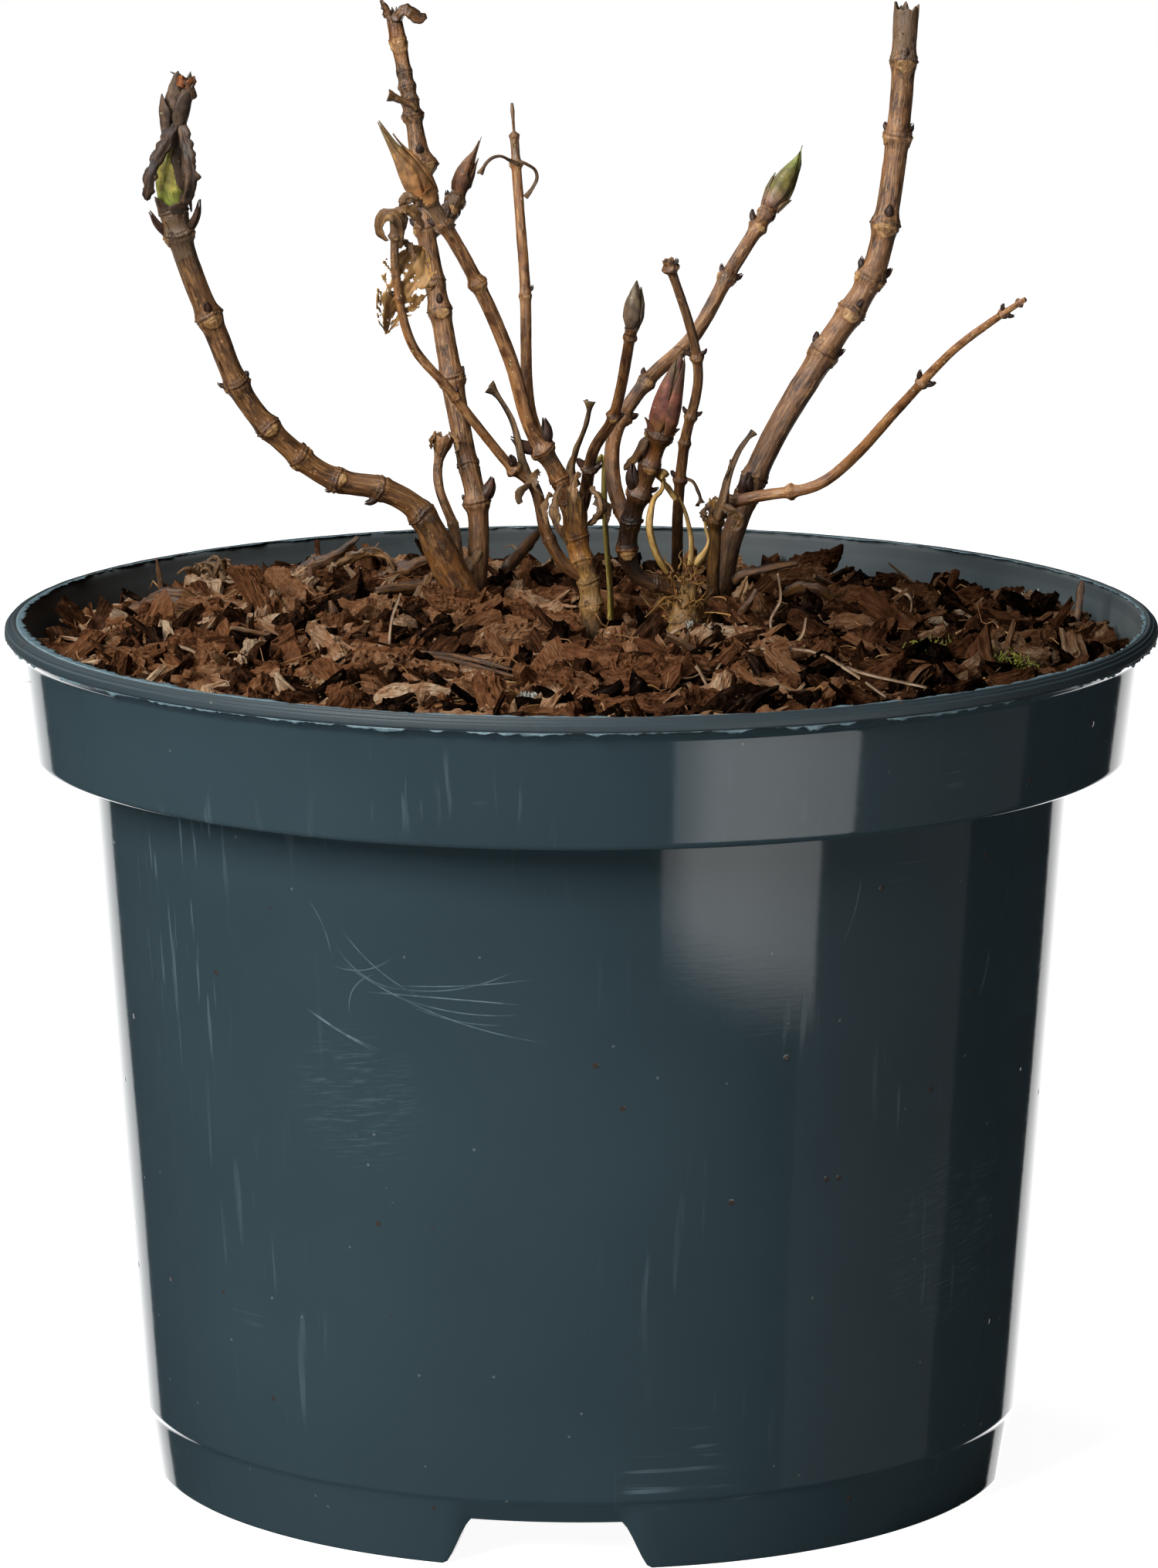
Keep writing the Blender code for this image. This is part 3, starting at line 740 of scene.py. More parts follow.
for label, rings in (("lip_film_inner", inner_film), ("lip_film_outer", outer_film)):
    piece = put_mesh(label, *skin(rings, looped=True)[:2], film_material)
    finish_piece(piece, "slate_plastic")


# %% [markdown]
# ## The base plate's drain holes
# Eight round holes pierce the base plate.  A hole in a sheet of quads is easiest as a patch: one
# sector of the plate, whose grid runs from the sector's outline in to the circle of the hole, down
# through the hole and out again underneath.  Eight copies, turned about the hub, make the plate,
# and its edge is buried in the lip that the wall's skin keeps for it.


# %% Joining parts into one mesh
def join(parts):
    """Stack parts that start with points and quads into one, with each part's point numbers moved on."""
    starts = np.cumsum([0] + [len(part[0]) for part in parts[:-1]])
    points = np.concatenate([part[0] for part in parts])
    quads = np.concatenate([part[1] + start for part, start in zip(parts, starts)])
    return points, quads


# %% One pierced sector, repeated
def pierced_sector(inner, outer, low, high):
    """A closed patch round one drain hole on the X axis.

    Its outline is walked anticlockwise about the hole: the outer arc, a straight side, the inner
    arc and the other side.  Rows go from the outline to the hole on top, and back underneath.
    """
    steps, rows = 12, 4                       # points along each side, and rows from side to hole
    half = pi / DRAINS
    side = np.linspace(0, 1, steps, endpoint=False)
    arc = half * (2 * side - 1)
    radius = np.concatenate([np.full(steps, outer), outer + (inner - outer) * side,
                             np.full(steps, inner), inner + (outer - inner) * side])
    angle = np.concatenate([arc, np.full(steps, half), -arc, np.full(steps, -half)])
    outline = np.stack([radius * np.cos(angle), radius * np.sin(angle)], -1)
    away = np.arctan2(outline[:, 1], outline[:, 0] - DRAIN_RING)
    hole = np.stack([DRAIN_RING + DRAIN_R * np.cos(away), DRAIN_R * np.sin(away)], -1)
    flat = outline + (hole - outline) * np.linspace(0, 1, rows)[:, None, None]
    sheet = np.concatenate([flat, flat[::-1]])
    level = np.repeat([high, low], rows)[:, None] + 0 * sheet[..., 0]
    return np.concatenate([sheet, level[..., None]], -1)


def turned(points, angle):
    """Points turned about the Z axis."""
    c, s = np.cos(angle), np.sin(angle)
    return points @ np.array([[c, s, 0], [-s, c, 0], [0, 0, 1]])


sector = pierced_sector(HUB_HOLE_R, PLATE_EDGE_R + 0.6, PLATE_Z + 0.03, FLOOR_Z - 0.03)
hole_turns = NOTCH_TURN + (2 * np.arange(DRAINS) + 1) * pi / DRAINS
plate = put_mesh("base_plate", *join([skin(turned(sector, a), looped=True) for a in hole_turns]),
                 POT_PLASTIC, smooth=False)
finish_piece(plate, "slate_plastic")

# %% [markdown]
# ## Growing medium and bark mulch
# The medium fills the pot, and a layer of bark lies on it.  A bumpy painted surface would look like
# carpet from the side, so the bark is made as the gardener scatters it: thousands of separate chips
# over a dark rough bed.  Each chip is a small slab with its own bends, ragged ends and layers, all
# computed at once as one array with an axis for the chip number.

# %% The bed under the bark
SOIL_R, SOIL_LOW, BED_Z = COLLAR_TOP_R - WALL - 0.5, FLOOR_Z + 0.4, 164.6
HEAPS = ((-42, 62, 34, 3.0), (-70, -5, 25, 1.5), (-24, 15, 9, 2.0))   # across, depth, reach, rise
BED_TURNS, BED_RINGS = 180, 90                # points round the bed, and rings from its edge inwards


def ground(x, y):
    """Height of the bed under the chips: level in the middle, falling to the collar, and lumpy."""
    run = np.hypot(x, y)
    level = BED_Z - 0.8 * smooth_step(40, 84, run) - 2.2 * smooth_step(84, 110, run)
    level = level - 2.0 * smooth_step(10, 90, y)
    for heap_x, heap_y, reach, rise in HEAPS:
        level = level + rise * bump_at(np.hypot(x - heap_x, y - heap_y), 0, reach)
    return level + 0.9 * rough(xyz(x, y, 0), 17.0, 41, 4)


around = np.arange(BED_TURNS) * 2 * pi / BED_TURNS
reach = np.linspace(0.012, 1, BED_RINGS)[::-1, None]
top = ring_at(SOIL_R * reach, around, 0)
top[..., 2] = ground(top[..., 0], top[..., 1])
side_r = np.array([BODY_LOW_R - WALL - 0.4, BODY_TOP_R - WALL - 0.4, COLLAR_R - WALL - 0.4])[:, None]
side_z = np.array([SOIL_LOW, SHELF_Z + 0.4, SHELF_Z + 0.5])[:, None]
points, quads, fans = skin(np.concatenate([ring_at(side_r, around, side_z), top]))
soil_material, tree, shader = new_material("growing_medium")
place = add_node(tree, "TexCoord").outputs["Object"]
lumps, grit = noise(tree, place, 160.0, 6.0, 0.7), noise(tree, place, 1400.0, 4.0, 0.7)
feed(tree, shader.inputs["Base Color"], blend(tree, lumps, srgb(12, 7, 4), srgb(38, 24, 14)))
feed(tree, shader.inputs["Roughness"], between(tree, grit, 0.3, 0.7, 0.7, 0.95))
add_bump(tree, shader, plus(tree, lumps, times(tree, grit, 0.4)), 1.0, 0.0015)
bed = put_mesh("growing_medium", points, quads, soil_material, extra=fans)
finish_piece(bed, "growing_medium", "root_ball", "soil_in_collar")


# %% One slab shape for every chip
def slab_faces(rows, cols):
    """Quads of a closed slab: a top grid, a bottom grid below it, and the walls round their edges.

    Points 0 to rows*cols - 1 are the top, row by row, and the rest the bottom.
    """
    top = np.arange(rows * cols).reshape(rows, cols)
    quads = np.stack([top[:-1, :-1], top[1:, :-1], top[1:, 1:], top[:-1, 1:]], -1).reshape(-1, 4)
    under = quads[:, ::-1] + rows * cols
    edge = np.concatenate([top[0, :-1], top[:-1, -1], top[-1, :0:-1], top[:0:-1, 0]])
    onward = np.roll(edge, -1)
    walls = np.stack([edge, onward, onward + rows * cols, edge + rows * cols], -1)
    return np.concatenate([quads, under, walls])


def broken(rng, count, knots, samples):
    """Random values that run in straight lines between a few knots, like a snapped edge."""
    reach = np.linspace(0, knots - 1, samples)[:, None] - np.arange(knots)
    return rng.normal(size=(count, knots)).clip(-1.8, 1.8) @ np.maximum(0, 1 - np.abs(reach)).T


RAGGED, CURL = 0.10, 0.05                     # how uneven the edges of a chip are, and how bent it is


def chip_shapes(rng, length, width, thick, rows, cols, relief=0.12):
    """Chips lying flat at the origin, as (chip, point, xyz), with the points of slab_faces().

    Each runs along X.  Its sides wander, its ends are broken off at a slant with splinters, it is
    bent across and along its length, twisted a little, and thinner at the edges, and its faces have
    ridges along the grain.
    """
    count = len(length)
    length, width, thick = (size[:, None, None] for size in (length, width, thick))
    u, v = np.linspace(-1, 1, rows)[:, None], np.linspace(-1, 1, cols)[None]
    draw = lambda *shape: rng.normal(size=(count, *shape))
    taper = 1 - 0.16 * np.abs(u + 0.6 * draw(1, 1).clip(-1, 1)) ** 2
    left, right, both = (broken(rng, count, knots, rows)[..., None] for knots in (5, 5, 4))
    sides = taper * v * (1 + RAGGED * np.where(v < 0, left, right)) + RAGGED * 0.4 * both
    low, high = broken(rng, count, 4, cols)[:, None], broken(rng, count, 4, cols)[:, None]
    ends = u * (1 + RAGGED * 0.9 * np.where(u < 0, low, high) * np.abs(u) ** 2 * (width / length) * 1.6)
    ends = ends + 0.45 * draw(1, 1).clip(-1.5, 1.5) * v * (width / length)
    x = ends * length / 2
    y = sides * width / 2 + 0.08 * draw(1, 1) * u**2 * length
    bend = CURL * (draw(1, 1) * v**2 * width + draw(1, 1) * u**2 * length * 0.5)
    bend = bend + 0.10 * draw(1, 1) * u * v * width
    ridges = relief * thick * (draw(1, cols) + 0.6 * draw(rows, cols))
    worn = 0.7 + 0.3 * rng.random((count, rows, cols))
    half = thick / 2 * (1 - 0.5 * np.maximum(np.abs(u) ** 8, np.abs(v) ** 6) * worn)
    upper = xyz(x, y, bend + half + ridges)
    lower = xyz(x * 0.97, y * 0.94, bend - half + ridges * 0.5)
    return np.concatenate([upper.reshape(count, -1, 3), lower.reshape(count, -1, 3)], 1)


# %% Throwing the chips down
def turns_of(yaw, pitch, roll):
    """Rotation matrices, one for each chip: roll about its length, then pitch, then yaw."""
    (cy, sy), (cp, sp), (cr, sr) = ((np.cos(angle), np.sin(angle)) for angle in (yaw, pitch, roll))
    rows = [[cy * cp, cy * sp * sr - sy * cr, cy * sp * cr + sy * sr],
            [sy * cp, sy * sp * sr + cy * cr, sy * sp * cr - cy * sr],
            [-sp, cp * sr, cp * cr]]
    return np.moveaxis(np.array(rows), -1, 0)


def scatter(rng, count, edge=106.0):
    """Places spread evenly over the bed."""
    run, turn = edge * np.sqrt(rng.random(count)), 2 * pi * rng.random(count)
    return run * np.sin(turn), -run * np.cos(turn)


def lay(shapes, x, y, lift, yaw, pitch, roll):
    """Turn each chip, stand it on the bed at its place, and push it in from the collar if it sticks out.

    A chip is lifted until about its lower fifth is in the bed, plus its own lift.
    """
    turned_chips = np.einsum("cij,cpj->cpi", turns_of(yaw, pitch, roll), shapes)
    sink = np.percentile(turned_chips[..., 2], 22, axis=1)
    placed = turned_chips + xyz(x, y, ground(x, y) + lift - sink)[:, None]
    run = np.hypot(placed[..., 0], placed[..., 1])
    over = np.maximum(0, (run - (COLLAR_R - WALL + 0.6)).max(1))
    inward = -xyz(x, y, 0) / np.maximum(np.hypot(x, y), 1)[:, None]
    return placed + (inward * over[:, None])[:, None]


def chip_piece(name, shapes, placed, rows, cols, rng, tones, material):
    """One mesh of many chips, with each chip's tone and its own unturned place for the grain."""
    count, corners = shapes.shape[:2]
    faces = slab_faces(rows, cols)[None] + (np.arange(count) * corners)[:, None, None]
    own = (shapes + rng.uniform(-400, 400, (count, 1, 3))) * MM
    return put_mesh(name, placed.reshape(-1, 3), faces.reshape(-1, 4), material,
                    marks={"tone": np.repeat(tones, corners)}, places={"own": own.reshape(-1, 3)},
                    smooth=False)


# %% [markdown]
# ## Bark colours
# Fresh pine bark is red brown inside, grey and scaly outside, nearly black at the dark end of the
# scale, and tan or pink where it has just broken.  A chip's tone, one random number for the whole
# chip, picks its place on that scale, and the grain moves it a little either way.  Chips towards
# the right are blended towards black, a painted shade, and chips at the left sit a little higher on
# the scale, a painted light.

# %% Bark chip material
BARK_CHIP, tree, shader = new_material("bark_chip")
own, tone = attribute(tree, "own", "Vector"), attribute(tree, "tone")
along = add_node(tree, "Mapping", Vector=own, Rotation=(0.0, math.radians(90), 0.0)).outputs["Vector"]
grain = use_group(tree, GRAIN, Place=along, Fineness=1500.0)
shift = plus(tree, times(tree, grain["Streaks"], 0.78), times(tree, grain["Patches"], 0.50))
across = add_node(tree, "SeparateXYZ", Vector=add_node(tree, "TexCoord").outputs["Object"]).outputs["X"]
# Every chip is moved down the bark scale, a little less at the left: the lighter left is a painted light, not
# drier bark.
dry = between(tree, across, -0.015, -0.085, -0.62, -0.52)
pick = plus(tree, plus(tree, tone, dry), shift, clamp=True)
ramp = add_node(tree, "ValToRGB", Fac=pick)
for spot, tint in ((0.0, (5, 3, 2)), (0.20, (22, 13, 8)), (0.38, (60, 37, 23)), (0.55, (99, 63, 40)),
                   (0.72, (124, 87, 60)), (0.87, (148, 115, 87)), (1.0, (184, 160, 132))):
    stop = ramp.color_ramp.elements.new(spot) if 0 < spot < 1 else ramp.color_ramp.elements[-int(spot)]
    stop.color = (*srgb(*tint), 1)
greyer = between(tree, grain["Patches"], 0.5, 0.75, 0.0, 0.3)
grey = blend(tree, greyer, ramp.outputs["Color"], srgb(74, 60, 52))
flecks = use_group(tree, FRECKLES, Place=own, Size=0.0011, Share=0.10)["Mask"]
colour = blend(tree, times(tree, flecks, 0.35), grey, srgb(140, 108, 80))
# Chips towards the right are blended towards black: a painted shade, as the lamps light the bark from the
# left.
painted_right_shade = between(tree, across, 0.005, 0.085, 0.0, 0.58)
colour = blend(tree, painted_right_shade, colour, (0.0, 0.0, 0.0))
feed(tree, shader.inputs["Base Color"], colour)
feed(tree, shader.inputs["Roughness"], between(tree, grain["Fibres"], 0.3, 0.7, 0.62, 0.9))
shader.inputs["Specular IOR Level"].default_value = 0.0
height = plus(tree, times(tree, grain["Streaks"], 1.4),
              plus(tree, times(tree, grain["Fibres"], 0.25), grain["Patches"]))
add_bump(tree, shader, height, 1.0, 0.0010)
print("colours on the bark scale:", len(ramp.color_ramp.elements))

# %% The layers of bark
LAYERS = {  # count, length, width and thickness in mm, grid, lift, tilt in degrees, tone and its spread
    "bark_bed": (1300, (6, 14), (3.5, 8), (1.6, 3.4), (5, 4), (0.0, 1.6), 18, 0.26, 0.16),
    "bark_slabs": (96, (9, 17), (4.6, 8), (2.6, 5.0), (18, 11), (0.8, 3.0), 22, 0.49, 0.24),
    "bark_plates": (620, (4.5, 12), (2.2, 5.2), (1.8, 4.2), (10, 7), (0.8, 3.4), 26, 0.48, 0.25),
    "bark_slivers": (1200, (4, 16), (0.7, 2.2), (0.7, 1.5), (7, 3), (1.2, 4.0), 16, 0.54, 0.26),
    "bark_crumbs": (2600, (1.0, 3.6), (0.8, 2.4), (0.5, 1.5), (3, 3), (1.0, 4.0), 30, 0.48, 0.26),
}
for seed, (label, row) in enumerate(LAYERS.items(), start=51):
    count, lengths, widths, thicks, grid, lifts, tilt, tone_at, tone_spread = row
    rng = np.random.default_rng(seed)
    length, width, thick = (rng.uniform(*span, count) for span in (lengths, widths, thicks))
    shapes = chip_shapes(rng, length, width, thick, *grid)
    x, y = scatter(rng, count)
    tilts = np.radians(rng.normal(0, tilt, (2, count)).clip(-60, 60))
    placed = lay(shapes, x, y, rng.uniform(*lifts, count), rng.uniform(0, 2 * pi, count), tilts[0], tilts[1])
    tones = rng.normal(tone_at, tone_spread, count).clip(0.02, 0.82)
    piece = chip_piece(label, shapes, placed, *grid, rng, tones, BARK_CHIP)
    finish_piece(piece, "bark_mulch", "bark_mulch")

# %% [markdown]
# ## Stems
# A hydrangea stem is a chain of joints.  At each joint two leaves stood opposite each other, a
# quarter turn from the pair below; each left a tan shield-shaped scar with a small bud above it, and
# the stem is swollen and ringed there.  A plain bevelled curve can't carry that, so each stem is a
# tube of rings along a smooth line whose radius is a function of the run along it and the bearing
# round it: taper, times swellings, plus scars, ridges and wrinkles.


# %% A smooth line with its own front and right
def line_of(joints, nodes=(), step=0.5):
    """A line through (across, depth, up) joints, with the directions needed to stand things round it.

    Each span is a cubic Bezier whose handles are a third of its length and point along the line
    between the neighbours of its end.  The steps shrink to a third round each node.  At every point
    front is -Y made square to the line, and right is the line's heading crossed with front.
    """
    joints = np.array(joints, float)
    ahead, behind = np.vstack([joints[1:], joints[-1:]]), np.vstack([joints[:1], joints[:-1]])
    heading = (ahead - behind) / np.linalg.norm(ahead - behind, axis=1)[:, None]
    a, b, ha, hb = joints[:-1], joints[1:], heading[:-1], heading[1:]
    reach = np.linalg.norm(b - a, axis=1)[:, None] / 3
    t = np.linspace(0, 1, 24, endpoint=False)[:, None, None]
    curve = ((1 - t) ** 3 * a + 3 * t * (1 - t) ** 2 * (a + ha * reach)
             + 3 * t**2 * (1 - t) * (b - hb * reach) + t**3 * b)
    curve = np.vstack([curve.transpose(1, 0, 2).reshape(-1, 3), joints[-1:]])
    runs = np.concatenate([[0], np.cumsum(np.linalg.norm(np.diff(curve, axis=0), axis=1))])
    fine = np.linspace(0, runs[-1], 3000)
    closer = 1 + 2 * sum((bump_at(fine, node, 2.4) for node in nodes), 0 * fine)
    crowd = np.cumsum(closer) * (fine[1] - fine[0])
    even = np.interp(np.linspace(crowd[0], crowd[-1], max(5, int(crowd[-1] / step))), crowd, fine)
    centre = np.stack([np.interp(even, runs, curve[:, k]) for k in range(3)], -1)
    tangent = np.gradient(centre, even, axis=0)
    tangent /= np.linalg.norm(tangent, axis=1)[:, None]
    front = np.array([0, -1.0, 0]) - tangent * (tangent @ np.array([0, -1.0, 0]))[:, None]
    front /= np.linalg.norm(front, axis=1)[:, None]
    right = np.cross(tangent, front)
    return {"run": even, "centre": centre, "tangent": tangent, "front": front, "right": right}


def place_at(line, run, turn, radius):
    """Places at a run along the line, a bearing round it in radians from its front, and a radius.

    A run past either end carries on straight.
    """
    run, turn, radius = np.broadcast_arrays(run, turn, radius)
    at = {key: np.stack([np.interp(run, line["run"], line[key][:, k]) for k in range(3)], -1)
          for key in ("centre", "tangent", "front", "right")}
    beyond = run - np.clip(run, 0, line["run"][-1])
    ahead, sideways = (radius * np.cos(turn))[..., None], (radius * np.sin(turn))[..., None]
    return at["centre"] + at["tangent"] * beyond[..., None] + at["front"] * ahead + at["right"] * sideways


# %% The skin of a jointed stem
def stem_mesh(name, joints, girth, nodes, material, seed, ridge, looks, head, flat=1.0, around=44):
    """A stem as a tube: radius = girth x swellings + scars + ring lines + long ridges.

    girth is (run, radius) pairs, and looks is (run, age, dark, warm), the marks that colour the bark.
    A node is (run, bearing in degrees of one scar, swelling, scar size against the radius).  Each
    scar is an oval below the node with a raised rim, wide above and narrow below, and the ring line
    climbs over it.  head is (flare, depth, raggedness) of a dead open end: the rim flares, breaks at
    random heights and falls into the pith.
    """
    line = line_of(joints, [node[0] for node in nodes])
    turn = np.arange(around) * 2 * pi / around
    run = line["run"][:, None] + 0 * turn
    thick = np.interp(run, *zip(*girth))
    middle = float(thick.mean())
    way = xyz(np.cos(turn), np.sin(turn), 0.10 * run / middle)
    ridges = ridge * rough(way, 0.55, seed) + 0.4 * ridge * rough(way * [1, 1, 6], 0.45, seed + 9)
    radius = thick * (1 + ridges)
    scar, ring = 0 * run, 0 * run
    for at, bearing, swell, size in nodes:
        local, bearing = np.interp(at, *zip(*girth)), math.radians(bearing)
        away = (run - at) / local
        climb = away - 0.14 * np.cos(2 * (turn - bearing)) - 0.04 * rough(way * [1, 1, 0], 0.5, seed + 3)
        edge = bump_at(climb, 0, 0.10)
        radius = radius + local * (1.5 * swell * bump_at(away, -0.15, 0.80) + 0.07 * edge
                                   - 0.04 * bump_at(climb, -0.22, 0.12) + 0.03 * bump_at(climb, 0.35, 0.1))
        ragged = np.abs(rough(way * [4, 4, 40] + at, 1.0, seed + 7, 3)) * bump_at(away, -0.15, 0.55)
        radius = radius + local * (0.35 * swell + 0.08) * ragged
        ring = np.maximum(ring, np.maximum(edge, 0.6 * bump_at(climb, 0.35, 0.08)))
        for side in (0, pi) if size else ():
            off = (turn - bearing - side + pi) % (2 * pi) - pi
            height = (away + 0.55 * size) / (0.58 * size)
            inside = 1 - np.hypot(off / (size * (0.80 + 0.22 * height.clip(-1, 1))), height)
            inside = inside + 0.16 * rough(way * [3, 3, 30] + at, 1.0, seed + 8)
            shield = smooth_step(0.0, 0.25, inside)
            pores = sum(bump_at(np.hypot(off / size - spot, 0.5 * height), 0, 0.10)
                        for spot in (-0.42, 0, 0.42))
            radius, ring = radius - local * 0.06 * pores, np.maximum(ring, pores * shield)
            radius = radius + local * (0.09 * shield + 0.08 * bump_at(inside, 0.10, 0.10)
                                       - 0.05 * bump_at(inside, 0.42, 0.07))
            scar = np.maximum(scar, shield)
    shift = 0 * run
    looks = [np.interp(run, [look[0] for look in looks], [look[k] for look in looks]) for k in (1, 2, 3)]
    if head:
        flare, depth, ragged = head
        top = run[-1:, :]
        splinters = ragged * rough(xyz(3 * np.cos(turn), 3 * np.sin(turn), 0), 1.0, seed + 5)
        radius = radius * (1 + (flare - 1) * smooth_step(top[0, 0] - 5 * middle, top[0, 0], run))
        steps = np.array([[1.00, 0.12], [0.94, 0.20], [0.84, 0.16], [0.72, -0.2], [0.62, -0.6], [0.50, -1.0]])
        run = np.concatenate([run, top + steps[:, 1:] * depth])
        radius = np.concatenate([radius, radius[-1:] * steps[:, :1]])
        shift = np.concatenate([shift + splinters * smooth_step(top[0, 0] - 2.5, top[0, 0], run[:len(shift)]),
                                splinters * np.array([[1], [1], [0.9], [0.5], [0.2], [0]])])
        scar, ring = (np.concatenate([v, np.repeat(v[-1:], len(steps), 0)]) for v in (scar, ring))
        looks = [np.concatenate([v, np.repeat(v[-1:], len(steps), 0)]) for v in looks]
        ring[-3:] = 1.0
    rings = place_at(line, run + shift, turn, radius)
    if flat != 1.0:
        middle_y = place_at(line, run, turn, 0 * radius)[..., 1]
        rings[..., 1] = middle_y + (rings[..., 1] - middle_y) * flat
    straight = xyz(radius * np.cos(turn), radius * np.sin(turn), run + 37.0 * seed)
    points, quads, fans = skin(rings)
    values = {"scar": scar, "ring": ring, "age": looks[0], "dark": looks[1], "warm": looks[2]}
    item = put_mesh(name, points, quads, material, extra=fans,
                    marks={label: with_ends(value) for label, value in values.items()},
                    places={"straight": with_ends(straight) * MM})
    return item, line


# %% A pointed scale that lies on a line
SCALE_GRID = (14, 9)                          # rows and columns of points on a scale


def scale_on(line, girth, start, end, bearing, half, lift, flare, thick=0.18, foot=0.6, point=2.2,
             wave=0.10, seed=1, grid=SCALE_GRID):
    """Points of a thin pointed scale wrapped on a line, with the point order of slab_faces().

    Its half width in degrees narrows to the point as (1 - u**point) ** 0.6; it is thickest along the
    middle, wavy at its edges, and rises from the skin by lift at once and by flare times u cubed.
    """
    hand = 1 if end > start else -1
    u, v = np.linspace(0, 1, grid[0])[:, None], np.linspace(hand, -hand, grid[1])[None]
    wild = rough(xyz(3 * u, 1.5 * v, seed), 1.0, seed)
    outline = (foot + (1 - foot) * smooth_step(0, 0.4, u)) * np.maximum(1 - u**point, 0.0015) ** 0.6
    run = start + (end - start) * (u + wave * 0.35 * wild * v**2)
    turn = math.radians(bearing) + math.radians(half) * v * outline * (1 + wave * wild)
    body = np.interp(run, *zip(*girth)) + lift + flare * u**3 + wave * 0.8 * wild * u
    upper = place_at(line, run, turn, body + thick * (1 - 0.6 * v**2))
    lower = place_at(line, run, turn, body - thick * 0.2 + 0 * v)
    return np.concatenate([upper.reshape(-1, 3), lower.reshape(-1, 3)])


# %% A dry strip along its own line
STRIP_GRID, PAPER_GRID, FLAP_GRID = (26, 6), (34, 9), (44, 14)


def strip_along(joints, width, thick, twist, cup, seed, wild, grid=STRIP_GRID, jag=0.0, facing=0.0):
    """Points of a dry strip or leaf stalk: its two sides turn round its line by twist degrees.

    width is (share of the length, mm) pairs; cup bends it across, wild makes its edges uneven, and
    jag tears them and crumples its face.
    """
    line = line_of(joints, step=0.4)
    u, v = np.linspace(0, 1, grid[0])[:, None], np.linspace(1, -1, grid[1])[None]
    uneven = rough(xyz(5 * u, 2 * v, seed), 1.0, seed)
    torn = rough(xyz(16 * u, np.sign(v), seed), 1.0, seed + 1, 2)
    fold = rough(xyz(7 * u, 2.5 * v, seed), 1.0, seed + 2, 3)
    half = np.interp(u, *zip(*width)) / 2 * (1 + wild * uneven + jag * torn * np.abs(v) ** 2)
    rise = cup * half * (1 - v**2) * 2 + 0.3 * wild * uneven + 0.9 * jag * half * fold
    turn = np.radians(facing + twist * u + 0 * v)
    run = u * line["run"][-1] + 0.3 * wild * uneven
    centre = place_at(line, run, turn, 0 * run)
    out, across = (place_at(line, run, turn + more, 1 + 0 * run) - centre for more in (0, pi / 2))
    sheet = centre + across * (half * v)[..., None]
    upper, lower = (sheet + out * (rise + side * thick / 2)[..., None] for side in (1, -1))
    return np.concatenate([upper.reshape(-1, 3), lower.reshape(-1, 3)])


def slabs(name, parts, grid, material, ages):
    """Many strips or scales of one grid as one mesh, each with its own age mark."""
    parts, (rows, cols) = np.array(parts), grid
    count, corners = parts.shape[:2]
    faces = slab_faces(rows, cols)[None] + (np.arange(count) * corners)[:, None, None]
    u, v = np.meshgrid(np.linspace(0, 1, rows), np.linspace(-1, 1, cols), indexing="ij")
    length = np.linalg.norm(parts[:, 0] - parts[:, (rows - 1) * cols], axis=1)[:, None]
    flat = xyz(np.tile(v.ravel(), 2), np.repeat([0.0, 0.4], rows * cols), np.tile(u.ravel(), 2) * length)
    flat = flat + np.arange(count)[:, None, None] * 7.3
    ages = np.repeat(np.ones(count) * ages, corners)
    edge = np.tile(np.abs(v).ravel() ** 4, 2 * count)
    return put_mesh(name, parts.reshape(-1, 3), faces.reshape(-1, 4), material,
                    marks={"age": ages, "ring": edge, "scar": 0 * edge},
                    places={"straight": flat.reshape(-1, 3) * MM})


def strips(name, routes, seed, wild, material, ages, slot, grid=STRIP_GRID, jag=0.0):
    """A piece of strips, one along each (joints, width, thickness, twist, cup), with seeds that count up."""
    parts = [strip_along(*route, seed + k, wild, grid, jag) for k, route in enumerate(routes)]
    finish_piece(slabs(name, parts, grid, material, ages), slot)

# %% [markdown]
# ## Stem colours
# Young hydrangea wood is warm brown with long fine streaks and pale pores; last year's is greyer and
# peels; wood in the shade of the crown is nearly black red.  One recipe makes all of them from three
# colours.  It reads the straightened place of each point, so the streaks follow every bend, and the
# marks of the mesh: scars are tan, ring lines dark, and old skin grey and flaky.


